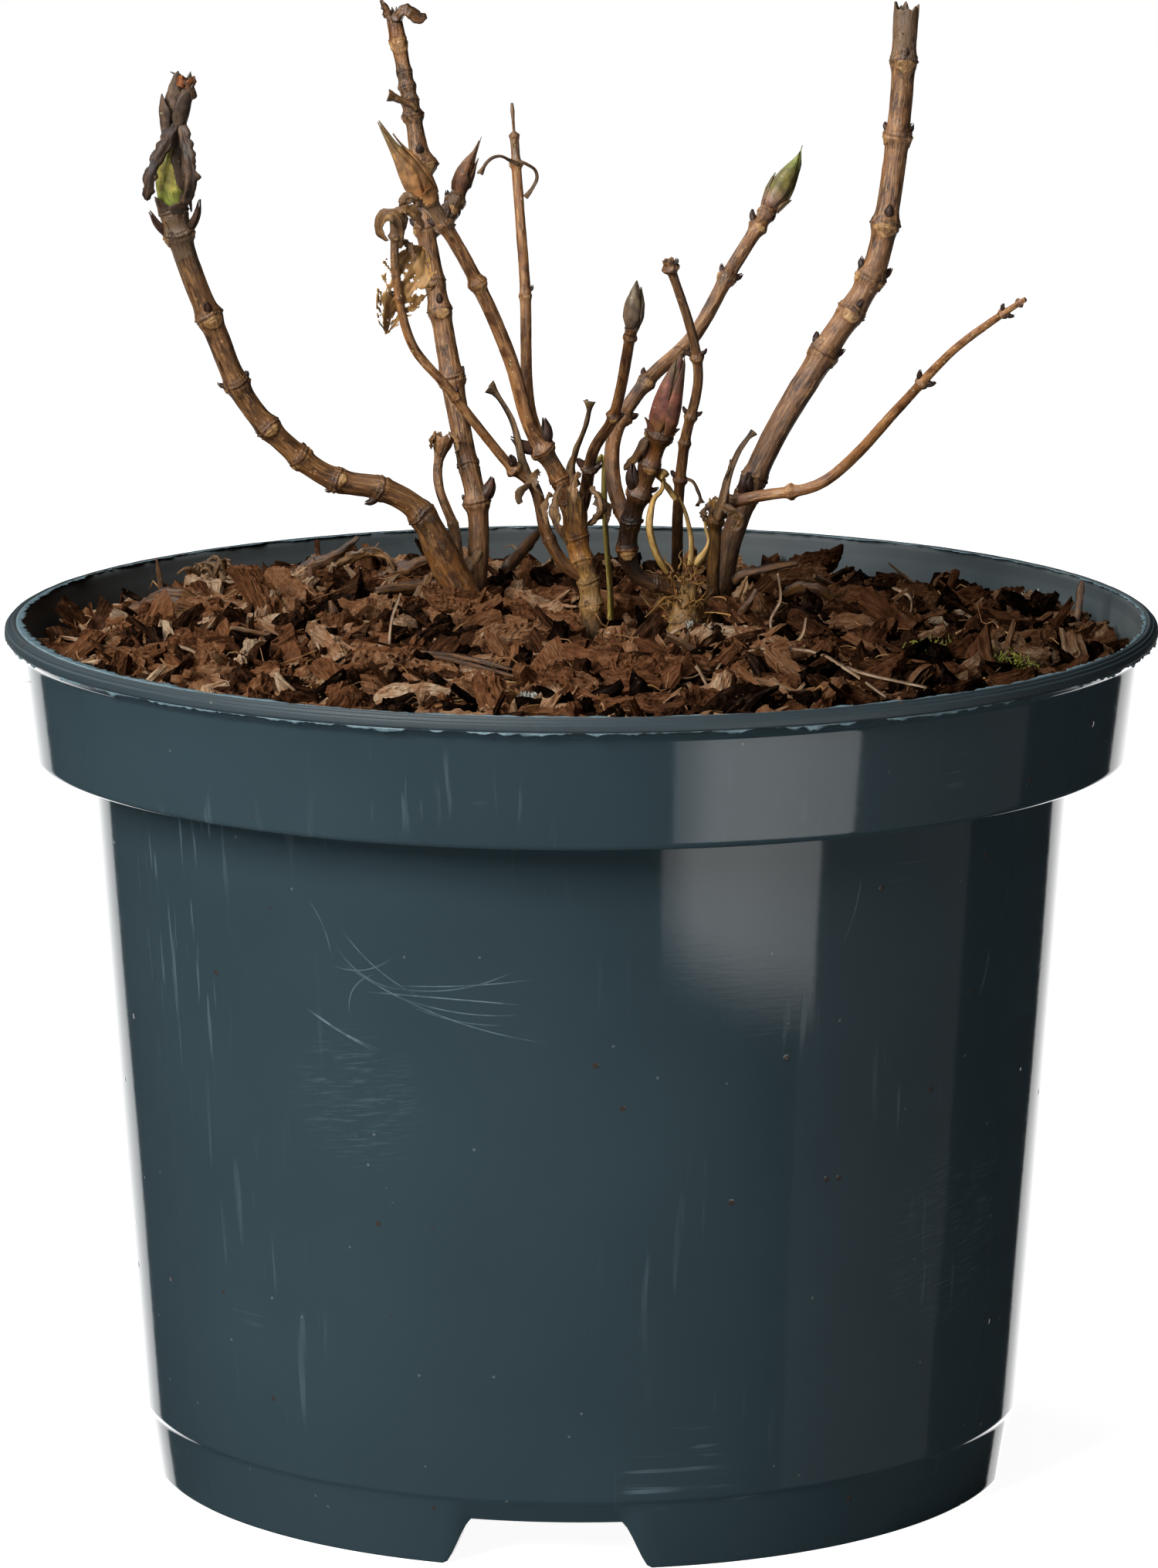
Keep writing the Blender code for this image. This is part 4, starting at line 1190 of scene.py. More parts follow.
# %% One recipe for bark
def bark_material(name, dark, middle, pale, fleck=0.14, shine=0.5, old=(116, 96, 76), fine=1800.0):
    """Bark from a dark, a middle and a pale colour given as 0-255 screen values."""
    material, tree, shader = new_material(name)
    straight = attribute(tree, "straight", "Vector")
    scar, ring, age, dim, warm = (attribute(tree, label) for label in ("scar", "ring", "age", "dark", "warm"))
    grain = use_group(tree, GRAIN, Place=straight, Fineness=fine)
    body = blend(tree, between(tree, grain["Patches"], 0.38, 0.54), srgb(*dark), srgb(*middle))
    body = blend(tree, between(tree, grain["Streaks"], 0.47, 0.62, 0.0, 0.7), body, srgb(*pale))
    body = blend(tree, between(tree, grain["Fibres"], 0.44, 0.30, 0.0, 0.45), body, shade(dark, 0.7))
    drawn_out = stretched(tree, straight, (1.0, 1.0, 0.55))
    pores = use_group(tree, FRECKLES, Place=drawn_out, Size=0.0007, Share=fleck)
    body = blend(tree, times(tree, pores["Mask"], 0.55), body, shade(pale, 1.32, 230))
    worn = noise(tree, stretched(tree, straight, (1.0, 1.0, 0.5)), 900.0, 5.0, 0.65, 0.4)
    limit = minus(tree, 0.86, times(tree, age, 0.62))
    flaked = between(tree, worn, limit, plus(tree, limit, 0.05))
    body = blend(tree, times(tree, flaked, 0.75), body, srgb(*old))
    blotch = noise(tree, stretched(tree, straight, (1.0, 1.0, 0.45)), 330.0, 3.0, 0.6, 0.5)
    orange = blend(tree, between(tree, grain["Patches"], 0.38, 0.6), srgb(104, 58, 28), srgb(178, 116, 66))
    body = blend(tree, times(tree, warm, between(tree, blotch, 0.30, 0.62, 0.95, 0.35)), body, orange)
    body = blend(tree, between(tree, blotch, 0.62, 0.44, 0.0, 0.28), body, shade(dark, 0.85))
    # The dark mark blends the bark towards its darkest colours: a painted shade on wood low among the stems.
    body = blend(tree, times(tree, dim, between(tree, blotch, 0.35, 0.65, 1.1, 0.85)), body,
                 blend(tree, between(tree, grain["Streaks"], 0.45, 0.6), shade(dark, 0.4), shade(dark, 0.85)))
    tan = blend(tree, between(tree, grain["Patches"], 0.35, 0.65), srgb(136, 98, 64), srgb(210, 172, 126))
    body = blend(tree, times(tree, scar, 0.85), body, tan)
    body = blend(tree, times(tree, ring, 0.42), body, shade(dark, 0.55))
    deep = add_node(tree, "HueSaturation", Color=body, Saturation=1.14, Value=0.88)
    feed(tree, shader.inputs["Base Color"], deep.outputs["Color"])
    dullness = between(tree, grain["Fibres"], 0.3, 0.7, shine - 0.14, shine + 0.10)
    feed(tree, shader.inputs["Roughness"], dullness)
    shader.inputs["Specular IOR Level"].default_value = 0.6
    height = plus(tree, times(tree, grain["Streaks"], 0.7),
                  plus(tree, times(tree, grain["Fibres"], 0.25), times(tree, flaked, 0.5)))
    height = plus(tree, height, times(tree, pores["Mask"], 0.25))
    add_bump(tree, shader, height, 0.85, 0.00045)
    return material


TAN_BARK = bark_material("bark_tan", (72, 48, 31), (136, 98, 69), (190, 150, 112))
ORANGE_BARK = bark_material("bark_orange", (98, 64, 42), (160, 116, 82), (206, 162, 120), 0.20, 0.42)
GREY_BARK = bark_material("bark_grey", (60, 40, 25), (114, 81, 55), (172, 132, 94), 0.14, 0.5)
DARK_BARK = bark_material("bark_dark", (52, 33, 22), (102, 72, 50), (150, 113, 82), 0.12, 0.38, (108, 84, 62))
STUMP_BARK = bark_material("bark_stump", (78, 50, 24), (144, 104, 60), (200, 158, 100), 0.12, 0.6,
                           (156, 124, 80))
print("bark materials:", [m.name for m in bpy.data.materials if m.name.startswith("bark_")])

# %% [markdown]
# ## The stems one by one
# Every stem is its joints, its girth and its nodes.  Heights above the bark come from the camera's
# view, and the depth is chosen so that each stem leaves the crown in its own direction.

# %% Joints, girth and nodes
# name: (joints, girth by run, nodes (run, bearing, swelling, scar), material, looks (run, age, dark, warm),
#        head, the CAD nodes it stands for)
STEMS = {
    "stem_far_left": (
        ((-22, 21, 161), (-23.4, 20, 169.8), (-28.4, 18.2, 182), (-33, 16.9, 190.4), (-40.2, 15.7, 194.8),
         (-49, 14.5, 196.8), (-55.9, 13.4, 201.1), (-66.8, 11.4, 213), (-73.2, 9.3, 228),
         (-78.6, 7.4, 242.5), (-81.2, 6, 253), (-81.3, 5.9, 255.5)),
        ((0, 4.4), (9, 4.3), (14, 3.7), (24, 3.2), (31, 2.4), (60, 2.15), (90, 2.3), (112, 2.35),
         (119, 2.6)),
        ((31, 30, 0.14, 0), (41, -80, 0.05, 0), (50, 20, 0.1, 0.7), (59, 100, 0.1, 0.7),
         (68, 10, 0.14, 0.8), (79, 90, 0.1, 0.5), (94, 15, 0.14, 1.05), (112, 95, 0.2, 0.9),
         (116.5, 5, 0.1, 0)), GREY_BARK,
        ((0, 0.5, 0.6, 0), (8, 0.5, 0.25, 0.4), (18, 0.45, 0, 0.5), (30, 0.5, 0.25, 0.1), (36, 0.3, 0, 0),
         (60, 0.2, 0, 0.1), (100, 0.15, 0, 0), (108, 0.75, 0.1, 0)), None,
        ("stem_far_left_low", "stem_far_left_high")),
    "stub_left": (
        ((-24.2, 25.5, 161), (-24.5, 26, 169.8), (-25.6, 28, 183.6), (-29.2, 29.6, 194.5),
         (-28, 31, 203.4)), ((0, 1.3), (12, 1.15), (30, 0.95), (44, 0.93)),
        ((14, 60, 0.15, 0), (25, 20, 0.08, 0)), TAN_BARK, ((0, 0.5, 0.3, 0), (44, 0.5, 0, 0)),
        (2.35, 1.6, 0.9), ("stub_left",)),
    "stem_tall_left": (
        ((-22, 28, 161), (-21.6, 30, 169.8), (-21.1, 33.2, 187), (-24.2, 36, 202), (-28.8, 40.8, 227.5),
         (-32.3, 44.6, 248), (-33, 46.6, 259), (-38.4, 52, 287.2)),
        ((0, 2.3), (14, 2.15), (28, 2), (52, 2.25), (90, 1.85), (99, 2.15), (108, 1.6), (118, 1.4),
         (124, 1.6), (130, 1.3)),
        ((29, 75, 0.2, 0.55), (37, 0, 0.04, 0), (55, 80, 0.14, 0.8), (69, 10, 0.14, 0.9),
         (75, 190, 0.06, 0), (86, 85, 0.16, 0.8), (99, 5, 0.42, 1.35), (109, 95, 0.26, 0.8),
         (112, 10, 0.16, 0), (115, 10, 0.16, 0), (118, 10, 0.1, 0), (125, 10, 0, 2)), TAN_BARK,
        ((0, 0.8, 0.4, 0), (20, 0.3, 0.1, 0), (90, 0.2, 0, 0), (110, 0.5, 0.2, 0), (118, 0.6, 0.4, 0),
         (122, 0.3, 0, 0.9), (128, 0.5, 0, 0.9), (130, 0.9, 0.3, 0)), (1.15, 1.2, 1.2),
        ("stem_tall_left",)),
    "shoot_left": (
        ((-32, 43.8, 241.5), (-30, 45, 244.4), (-27.2, 47.3, 246.6), (-24.8, 51, 251.2),
         (-24.4, 51.3, 252.4)), ((0, 1.7), (6, 1.75), (14, 1.5)),
        ((3.6, 20, 0.1, 0.7), (6.6, 95, 0.16, 0.8), (9.2, 10, 0.12, 0.8), (11.8, 80, 0.2, 0.8)), DARK_BARK,
        ((0, 0.6, 0, 0), (14, 0.9, 0, 0)), None, ("shoot_left",)),
    "stump_centre": (
        ((2.4, -6.4, 160.5), (2.2, -6, 169.8), (1.5, -5.2, 178.5), (-0.8, -4.3, 187.5),
         (-1.4, -3.4, 196.5)), ((0, 1.9), (12, 1.95), (20, 2), (30, 2.2), (36, 2)),
        ((14.5, 10, 0.16, 0.7), (19, 70, 0.06, 0), (23.5, 0, 0.12, 0), (28, 60, 0.05, 0)), STUMP_BARK,
        ((0, 0.5, 0.9, 0), (11, 0.5, 0.7, 0), (13.5, 0.8, 0, 0), (22, 0.6, 0.1, 0.1), (26, 0.3, 0, 0.9),
         (32, 0.3, 0.1, 0.6), (36, 0.5, 0.4, 0)), (1.2, 1.6, 1.6), ("stump_centre",)),
    "stem_leaning_left": (
        ((-1.6, -3.3, 191.5), (-3, -3.4, 196.5), (-5.4, -4.2, 202), (-10.2, -5.4, 210.5),
         (-14.3, -7.4, 225), (-22.4, -10, 243.5), (-30.4, -12, 257.2), (-31.2, -12.2, 258.6)),
        ((0, 1.9), (9, 1.8), (16, 1.75), (20, 1.4), (50, 1.45), (66, 1.4), (74, 1.55)),
        ((4, 60, 0.06, 0), (9, 15, 0.1, 0), (16, 88, 0.3, 0.75), (52.5, 5, 0.26, 1.3), (66, 85, 0.22, 0.7),
         (72, 5, 0.25, 0.8)), ORANGE_BARK,
        ((0, 0.6, 0.3, 0), (10, 0.5, 0.1, 0.4), (14, 0.6, 0.5, 0), (20, 0.1, 0.1, 0.2), (26, 0.1, 0, 0),
         (60, 0.1, 0, 0), (68, 0.8, 0.1, 0)), None, ("stem_leaning_left",)),
    "twig_centre": (
        ((-0.6, -3.2, 192.5), (0.7, -3.4, 196.5), (2.3, -8.2, 206), (6.4, -12.6, 213.8), (9.8, -22, 232.2),
         (9.9, -22.2, 233.4)), ((0, 1.5), (7, 1.3), (12, 1.15), (44, 1.05), (48, 1.15)),
        ((11, 80, 0.3, 0.7), (25, 10, 0.22, 0.9), (44, 90, 0.16, 0.6), (46, 5, 0.1, 0)), DARK_BARK,
        ((0, 0.6, 0.3, 0), (12, 0.2, 0.4, 0), (24, 0.15, 0, 0.2), (48, 0.15, 0, 0)), None,
        ("twig_centre",)),
    "twig_arching": (
        ((1.6, -5, 179.6), (-3.6, -5.2, 183.2), (-7, -5.6, 189.5), (-9.4, -6, 198.6), (-14.3, -8.1, 203.3),
         (-26.5, -14.5, 219.8), (-33.3, -18.1, 228.9), (-36.2, -22.6, 243), (-36.3, -26, 254)),
        ((0, 1.5), (8, 1.25), (24, 1.15), (31, 0.95), (60, 0.93), (90, 0.8)),
        ((12, 0, 0.06, 0), (29, 60, 0.42, 1.1), (49, 20, 0.16, 0.7), (74, 80, 0.2, 0.5),
         (87, 20, 0.3, 0.5)), ORANGE_BARK,
        ((0, 0.3, 0.5, 0), (5, 0.2, 0.85, 0.3), (20, 0.1, 0.8, 0.3), (27, 0.2, 0.3, 0), (34, 0.2, 0, 0),
         (70, 0.2, 0, 0), (90, 0.9, 0.2, 0)), (1.2, 0.8, 0.6), ("twig_arching_low", "twig_arching_high")),
    "twig_upright": (
        ((-7.3, -4.9, 205), (-7.9, -4.8, 206.5), (-10.5, -2.8, 215.4), (-11.2, 2.2, 238),
         (-12.3, 5.4, 252.5), (-13.8, 10, 273.2)),
        ((0, 1.2), (30, 1.1), (58, 0.95), (60, 0.85), (64.2, 0.85), (64.8, 0.28), (67, 0.3), (69, 0.42),
         (72, 0.08)), ((32, 15, 0.1, 0.7), (58.4, 90, 0.28, 0.8), (64, 10, 0.12, 0)), ORANGE_BARK,
        ((0, 0.1, 0, 0), (57, 0.1, 0, 0), (59, 0.7, 0, 0)), None, ("twig_upright",)),
    "stem_red_bud": (
        ((21.6, 4.6, 175.3), (16.9, 3.5, 177.1), (13.1, 2.6, 178.4), (10.7, 2, 179.9), (9.1, 1, 184.6),
         (10, -0.4, 191.5), (13.2, -2.6, 201.5), (15.5, -4, 208.9), (16, -4.2, 210.3)),
        ((0, 1.75), (10, 1.7), (14, 1.75), (20, 1.95), (30, 1.9), (41, 1.85), (45, 2.1)),
        ((7.5, 60, 0.08, 0), (18, 5, 0.12, 1), (24, 60, 0.08, 0), (30, 90, 0.24, 0.6),
         (36.5, 10, 0.16, 0.8), (43, 90, 0.26, 0.8)), DARK_BARK,
        ((0, 0.9, 0.2, 0), (8, 0.2, 0.6, 0), (13, 0.1, 0.9, 0), (17.2, 0.1, 0.9, 0), (18, 0.3, 0, 1),
         (19, 0.1, 0.9, 0.2), (28, 0.1, 0.85, 0.2), (31, 0.4, 0.3, 0.6), (35, 0.4, 0.6, 0.3),
         (38, 0.4, 0.1, 0.9), (43, 0.5, 0.4, 0.5), (45, 0.9, 0.5, 0)), None,
        ("stem_red_bud_low", "stem_red_bud_high")),
    "stem_slant": (
        ((10.2, -0.4, 188.2), (9.7, 0.1, 189), (6.5, 5.9, 197.5), (6.9, 12, 207), (13.1, 17.8, 216.2),
         (22.6, 24.5, 224.6), (30.6, 32.5, 237.5), (38.6, 40, 249.2), (39.2, 40.4, 250.2)),
        ((0, 1.6), (24, 1.5), (30, 1.45), (80, 1.45), (84, 1.6)),
        ((6, 10, 0.08, 0), (27, 85, 0.28, 0.9), (36, 10, 0.18, 0.9), (65, 90, 0.2, 0.8), (78, 10, 0.2, 0.8),
         (81.5, 90, 0.14, 0.5)), TAN_BARK,
        ((0, 0.1, 0.3, 0), (8, 0.1, 0, 0.5), (24, 0.1, 0, 0.4), (30, 0.3, 0.3, 0), (34, 0.4, 0.1, 0),
         (84, 0.35, 0, 0)), None, ("stem_slant_low", "stem_slant_high")),
    "twig_wavy": (
        ((19.4, 23, 161), (19.4, 22, 169.8), (19.5, 16.3, 191), (20.8, 12.5, 205), (23.3, 9, 217.5),
         (22.3, 6.6, 226.5), (17.2, 2, 242.7)), ((0, 1.3), (20, 1.15), (60, 1), (84, 0.9), (86.5, 1.1)),
        ((37, 80, 0.2, 0.7), (45, 10, 0.14, 0), (51, 85, 0.18, 0.7), (64, 20, 0.3, 0.8),
         (84, 60, 0.5, 0.6)), GREY_BARK,
        ((0, 0.3, 0.4, 0), (20, 0.2, 0.5, 0.3), (44, 0.1, 0.2, 0.3), (60, 0.1, 0, 0), (86, 0.4, 0, 0)),
        (1.15, 0.6, 0.3), ("twig_wavy",)),
    "stem_tall_right": (
        ((24.5, 19.2, 161), (27.4, 20, 169.8), (30.6, 21.6, 184.5), (37.7, 23.7, 202), (49.1, 26.1, 221.3),
         (58.6, 28.1, 236.7), (62.3, 29.9, 253), (64.4, 32, 272), (65.4, 34, 289.6)),
        ((0, 2.2), (20, 2.2), (36, 2.35), (58, 2.65), (80, 2.45), (110, 2.3), (138, 2.35)),
        ((33, 120, 0.08, 0), (37, 40, 0.1, 0), (66, 80, 0.1, 0.8), (76, 5, 0.1, 0.9), (84, 95, 0.14, 0.9),
         (95, 5, 0.16, 1.15), (113, 90, 0.14, 1), (128, 10, 0.12, 1)), TAN_BARK,
        ((0, 0.6, 0.3, 0), (30, 0.4, 0.05, 0), (60, 0.2, 0.1, 0.2), (90, 0.2, 0, 0), (120, 0.3, 0, 0),
         (138, 1, 0.1, 0)), (1.12, 1.6, 1.4), ("stem_tall_right",)),
    "stub_right": (
        ((26, 15, 161), (26.4, 14, 169.8), (26.6, 13.1, 180), (27, 12, 193)),
        ((0, 1.4), (12, 1.25), (30, 1.3)), ((13, 20, 0.08, 0), (28, 85, 0.25, 0.8)), STUMP_BARK,
        ((0, 0.5, 0.7, 0), (14, 0.3, 0.6, 0.5), (24, 0.3, 0.3, 0.5), (30, 0.5, 0, 0)), (1.1, 0.8, 0.8),
        ("stub_right",)),
    "twig_far_right": (
        ((25.8, 12.4, 191), (27, 12.1, 191.9), (36, 9, 194.5), (46.4, 5.5, 196.9), (53.2, 2.6, 202.2),
         (62, -5.6, 213.4), (72.4, -15.3, 226.5), (79.4, -20.8, 233), (86.4, -26, 238.6)),
        ((0, 1.5), (8, 1.2), (40, 1.1), (80, 0.75), (89.4, 0.5)),
        ((4.5, 10, 0.25, 0), (18, 95, 0.26, 0.8), (58, 80, 0.26, 0.7), (83, 10, 0.4, 0.6),
         (87.5, 90, 0.5, 0)), ORANGE_BARK,
        ((0, 0.6, 0.3, 0), (10, 0.2, 0.1, 0), (60, 0.2, 0.1, 0), (89, 0.2, 0, 0)), None,
        ("twig_far_right_low", "twig_far_right_high")),
    "crown_knob": (
        ((20.3, 1.4, 162), (20.6, 1.8, 169.8), (20.9, 3.2, 173.8), (21.4, 5.2, 177)),
        ((0, 4), (5, 3.6), (8, 2.9), (12, 2.6), (15.5, 2.2)), ((8, 20, 0.12, 0),), STUMP_BARK,
        ((0, 0.6, 0.4, 0), (16, 0.8, 0.1, 0)), (1, 0.8, 1.2), ("crown_knob",)),
}
print("stems:", len(STEMS), "with", sum(len(row[2]) for row in STEMS.values()), "nodes")

# %% Make the stems
SMOOTH, RUGGED = 0.045, {"stump_centre": 0.08, "crown_knob": 0.14, "stub_left": 0.09}
LINES, GIRTHS = {}, {}
for seed, (label, row) in enumerate(STEMS.items(), start=101):
    joints, girth, knots, bark, looks, head, stands_for = row
    ridge = RUGGED.get(label, SMOOTH)
    piece, LINES[label] = stem_mesh(label + "_skin", joints, girth, knots, bark, seed, ridge, looks, head)
    GIRTHS[label] = girth
    finish_piece(piece, "stem_bark", *stands_for)

# %% [markdown]
# ## Buds
# A bud is a cone of scales in crossed pairs.  Five stems end in a sound bud, and the tallest on the
# left in a frosted one: its outer scales have turned black, shrunk and come away, and the green heart
# shows between them.  Each bud is a body under separate scales, so the seams and free edges are real.


# %% Bud colours
def bud_material(name, foot, belly, tip, vein, shine=0.48):
    """Bud skin that changes from foot to tip by the age mark, with fine raised veins along it."""
    material, tree, shader = new_material(name)
    straight = attribute(tree, "straight", "Vector")
    share, edge = attribute(tree, "age"), attribute(tree, "ring")
    grain = use_group(tree, GRAIN, Place=straight, Fineness=1500.0)
    share = plus(tree, share, times(tree, minus(tree, grain["Patches"], 0.5), 0.5))
    body = blend(tree, between(tree, share, 0.05, 0.42), srgb(*foot), srgb(*belly))
    body = blend(tree, between(tree, share, 0.50, 0.88), body, srgb(*tip))
    body = blend(tree, between(tree, grain["Streaks"], 0.50, 0.62, 0.0, 0.8), body, srgb(*vein))
    body = blend(tree, between(tree, grain["Fibres"], 0.45, 0.32, 0.0, 0.5), body, shade(foot, 0.5))
    body = blend(tree, times(tree, edge, 0.5), body, shade(foot, 0.7))
    dots = use_group(tree, FRECKLES, Place=straight, Size=0.0008, Share=0.16)["Mask"]
    body = blend(tree, times(tree, dots, 0.3), body, srgb(200, 190, 150))
    mottle = noise(tree, stretched(tree, straight, (1.0, 1.0, 0.5)), 620.0, 4.0, 0.65, 0.3)
    body = blend(tree, between(tree, mottle, 0.56, 0.40, 0.0, 0.55), body, shade(belly, 0.5))
    body = blend(tree, between(tree, mottle, 0.54, 0.68, 0.0, 0.5), body, shade(belly, 1.5, 235))
    feed(tree, shader.inputs["Base Color"], body)
    shader.inputs["Specular IOR Level"].default_value = 0.3
    dullness = between(tree, grain["Fibres"], 0.3, 0.7, shine - 0.08, shine + 0.14)
    feed(tree, shader.inputs["Roughness"], dullness)
    add_bump(tree, shader, plus(tree, grain["Streaks"], times(tree, grain["Fibres"], 0.3)), 0.7, 0.0003)
    return material


RED_BUD = bud_material("bud_red_skin", (140, 96, 54), (126, 76, 60), (108, 92, 64), (134, 70, 70))
GREEN_BUD = bud_material("bud_green_skin", (150, 112, 96), (116, 108, 58), (130, 138, 68), (88, 88, 46), 0.36)
OLIVE_BUD = bud_material("bud_olive_skin", (170, 114, 64), (148, 108, 68), (124, 108, 70), (112, 74, 46))
BROWN_BUD = bud_material("bud_brown_skin", (86, 68, 54), (104, 84, 64), (112, 100, 76), (80, 58, 46))
BLACK_BUD = bud_material("bud_black_skin", (92, 66, 48), (80, 64, 52), (112, 88, 66), (50, 39, 32), 0.5)
UMBER_BUD = bud_material("bud_umber_skin", (98, 62, 40), (118, 80, 54), (128, 100, 72), (82, 50, 34))
HEART_BUD = bud_material("bud_heart_skin", (142, 158, 62), (140, 128, 64), (116, 94, 56), (168, 172, 96),
                         0.32)
DARK_BUD = bud_material("bud_side_skin", (60, 42, 32), (66, 44, 34), (92, 72, 56), (40, 27, 22), 0.36)
print("bud materials:", [m.name for m in bpy.data.materials if m.name.startswith("bud_")])

# %% End buds
# name: (joints, girth, material, scales (start, end, bearing, half width, lift, flare))
END_BUDS = {
    "bud_red": (
        ((15, -3.7, 207.6), (15.5, -4, 208.9), (17.4, -5, 216.8), (19.7, -6, 224.8)),
        ((0, 1.7), (1.6, 2.1), (4.5, 2.75), (8, 2.6), (11.5, 2), (14.5, 1.35), (17, 0.75), (17.9, 0.3)),
        RED_BUD,
        ((0.8, 17, -48, 72, 0.1, 0.1), (0.4, 17.8, 62, 66, 0.24, 0.15), (0.8, 14, 150, 70, 0.16, 0),
         (0.6, 15, -140, 60, 0.12, 0), (0, 4.2, -80, 58, 0.3, 0.7), (0, 3.4, 95, 52, 0.36, 0.8))),
    "bud_green": (
        ((38.2, 39.6, 248), (38.6, 40, 249.2), (41.7, 41.5, 254.6), (43.9, 42.6, 258.2),
         (44.9, 43.2, 261.2)),
        ((0, 1.4), (1.5, 1.9), (4, 2.42), (6.5, 2.25), (9, 1.7), (11.5, 1), (14.3, 0.1)), GREEN_BUD,
        ((0.8, 13.9, -30, 78, 0.1, 0), (0.8, 12.4, 130, 78, 0.14, 0), (0.2, 7.6, -100, 50, 0.28, 0.25),
         (0.2, 4.4, 80, 50, 0.22, 0.35))),
    "bud_olive": (
        ((-29.6, -11.8, 255.9), (-30.4, -12, 257.2), (-34.2, -12.9, 263.5), (-36.9, -13.6, 267.6),
         (-39.6, -14.1, 272.2)),
        ((0, 1.7), (2, 2.3), (5, 2.75), (8, 2.3), (11, 1.45), (14, 0.75), (19.4, 0.12)), OLIVE_BUD,
        ((0.6, 19, -58, 84, 0.16, 0.05), (0.8, 15.6, 104, 56, 0.34, 0.15), (1, 12, 178, 60, 0.16, 0),
         (0, 3.4, 20, 60, 0.3, 0.9), (0, 2.8, -110, 60, 0.3, 1))),
    "bud_brown": (
        ((9.6, -21.8, 231), (9.8, -22, 232.2), (10.3, -22.5, 237), (10.8, -23, 241.9)),
        ((0, 1), (1.4, 1.1), (3.6, 1.85), (6.4, 1.75), (9, 1), (11, 0.15)), BROWN_BUD,
        ((1.4, 10.8, -24, 84, 0.08, 0), (1.2, 9.8, 110, 72, 0.16, 0.1), (1.4, 9, -150, 70, 0.1, 0))),
    "bud_short": (
        ((-24.4, 51.3, 250.6), (-24.8, 51, 251.6), (-23.2, 51.5, 256), (-21.6, 52, 259),
         (-20.4, 52.2, 262)), ((0, 1.4), (2, 1.85), (4.5, 1.7), (7, 1), (9, 0.4), (12, 0.08)), UMBER_BUD,
        ((0.4, 11.4, -50, 80, 0.1, 0), (0.4, 8.4, 96, 66, 0.24, 0.3), (0.3, 4.4, 0, 44, 0.34, 0.7))),
    "bud_wilted": (
        ((-81.3, 5.9, 251.6), (-81.2, 6, 253), (-81.3, 5.5, 262), (-80.8, 5, 269)),
        ((0, 2.2), (2, 2.5), (6, 3), (10, 2.6), (14, 1.7), (17.6, 1.3)), HEART_BUD,
        ((0.8, 15.5, -42, 60, 0.16, 0), (0.8, 16, 30, 58, 0.34, 0), (0.6, 15, 170, 80, 0.2, 0))),
}
BUD_TURNS = 36                                # points round the body of a bud
for seed, (label, (joints, girth, skin_of, scales)) in enumerate(END_BUDS.items(), start=201):
    tall = girth[-1][0]
    looks = ((0, 0, 0, 0), (tall, 1, 0, 0))
    piece, line = stem_mesh(label + "_heart", joints, girth, (), skin_of, seed, 0.05, looks, None,
                            around=BUD_TURNS)
    finish_piece(piece, "bud_scale", label)
    parts = [scale_on(line, girth, *scale, seed=seed * 7 + k) for k, scale in enumerate(scales)]
    u = np.tile(np.repeat(np.linspace(0, 1, SCALE_GRID[0]), SCALE_GRID[1]), 2)
    shares = np.array([(scale[0] + (scale[1] - scale[0]) * u) / tall for scale in scales])
    wraps = slabs(label + "_scales", parts, SCALE_GRID, skin_of, 0)
    wraps.data.attributes["age"].data.foreach_set("value", shares.ravel().astype(np.float32))
    finish_piece(wraps, "bud_scale", label)
    LINES[label], GIRTHS[label] = line, girth

# %% The frosted bud's dead scales
dead_girth = ((0, 1.9), (2, 1.6), (4, 2.0), (6.5, 2.35), (9, 2.2), (13, 1.9), (16, 1.5))
joints = ((-80.9, 5.4, 265.4), (-80.8, 5, 269), (-80.2, 4.7, 273), (-78.5, 4.2, 278.4))
skin_girth = ((0, 2.2), (2.5, 1.9), (5, 2.4), (8, 2.3), (11, 2), (14, 1.8))
looks, head = ((0, 0.5, 0, 0), (14, 0.7, 0, 0)), (1.05, 1.4, 2.2)
piece, dead = stem_mesh("frosted_tip", joints, skin_girth, (), BLACK_BUD, 231, 0.26, looks, head,
                        flat=0.75, around=BUD_TURNS)
finish_piece(piece, "bud_scale", "bud_wilted")
heart, girth = LINES["bud_wilted"], GIRTHS["bud_wilted"]
DEAD_SCALES = (  # line, girth, start, end, bearing, half width, lift, flare, thickness, foot, point, wave
    (heart, girth, 16.8, 1, 92, 50, 0.4, 0.9, 0.3, 0.45, 4, 0.22),
    (heart, girth, 17.2, 2.4, 160, 60, 0.5, 0.9, 0.3, 0.5, 3, 0.22),
    (heart, girth, 16.4, 5.4, 34, 30, 0.55, 0.3, 0.25, 0.6, 2.4, 0.25),
    (dead, dead_girth, 1, 9.4, -70, 62, 0.35, 0.9, 0.3, 0.6, 3, 0.3),
    (dead, dead_girth, 3, 13.5, 50, 60, 0.3, 0.2, 0.3, 0.8, 3, 0.3),
    (heart, girth, 0, 3.6, -60, 55, 0.45, 0.5, 0.25, 0.8, 2, 0.3),
    (heart, girth, 0, 3, 40, 50, 0.5, 0.7, 0.25, 0.8, 2, 0.3),
)
parts = [scale_on(*scale, 232 + k) for k, scale in enumerate(DEAD_SCALES)]
ages = (0.7, 0.6, 0.5, 0.6, 0.6, 0.1, 0.1)
finish_piece(slabs("frosted_scales", parts, SCALE_GRID, BLACK_BUD, ages), "bud_scale", "bud_wilted")
FLAP_SKIN = bark_material("bud_dead_skin", (36, 27, 21), (66, 50, 38), (112, 84, 62), 0.10, 0.66,
                          (104, 76, 52), 1300.0)
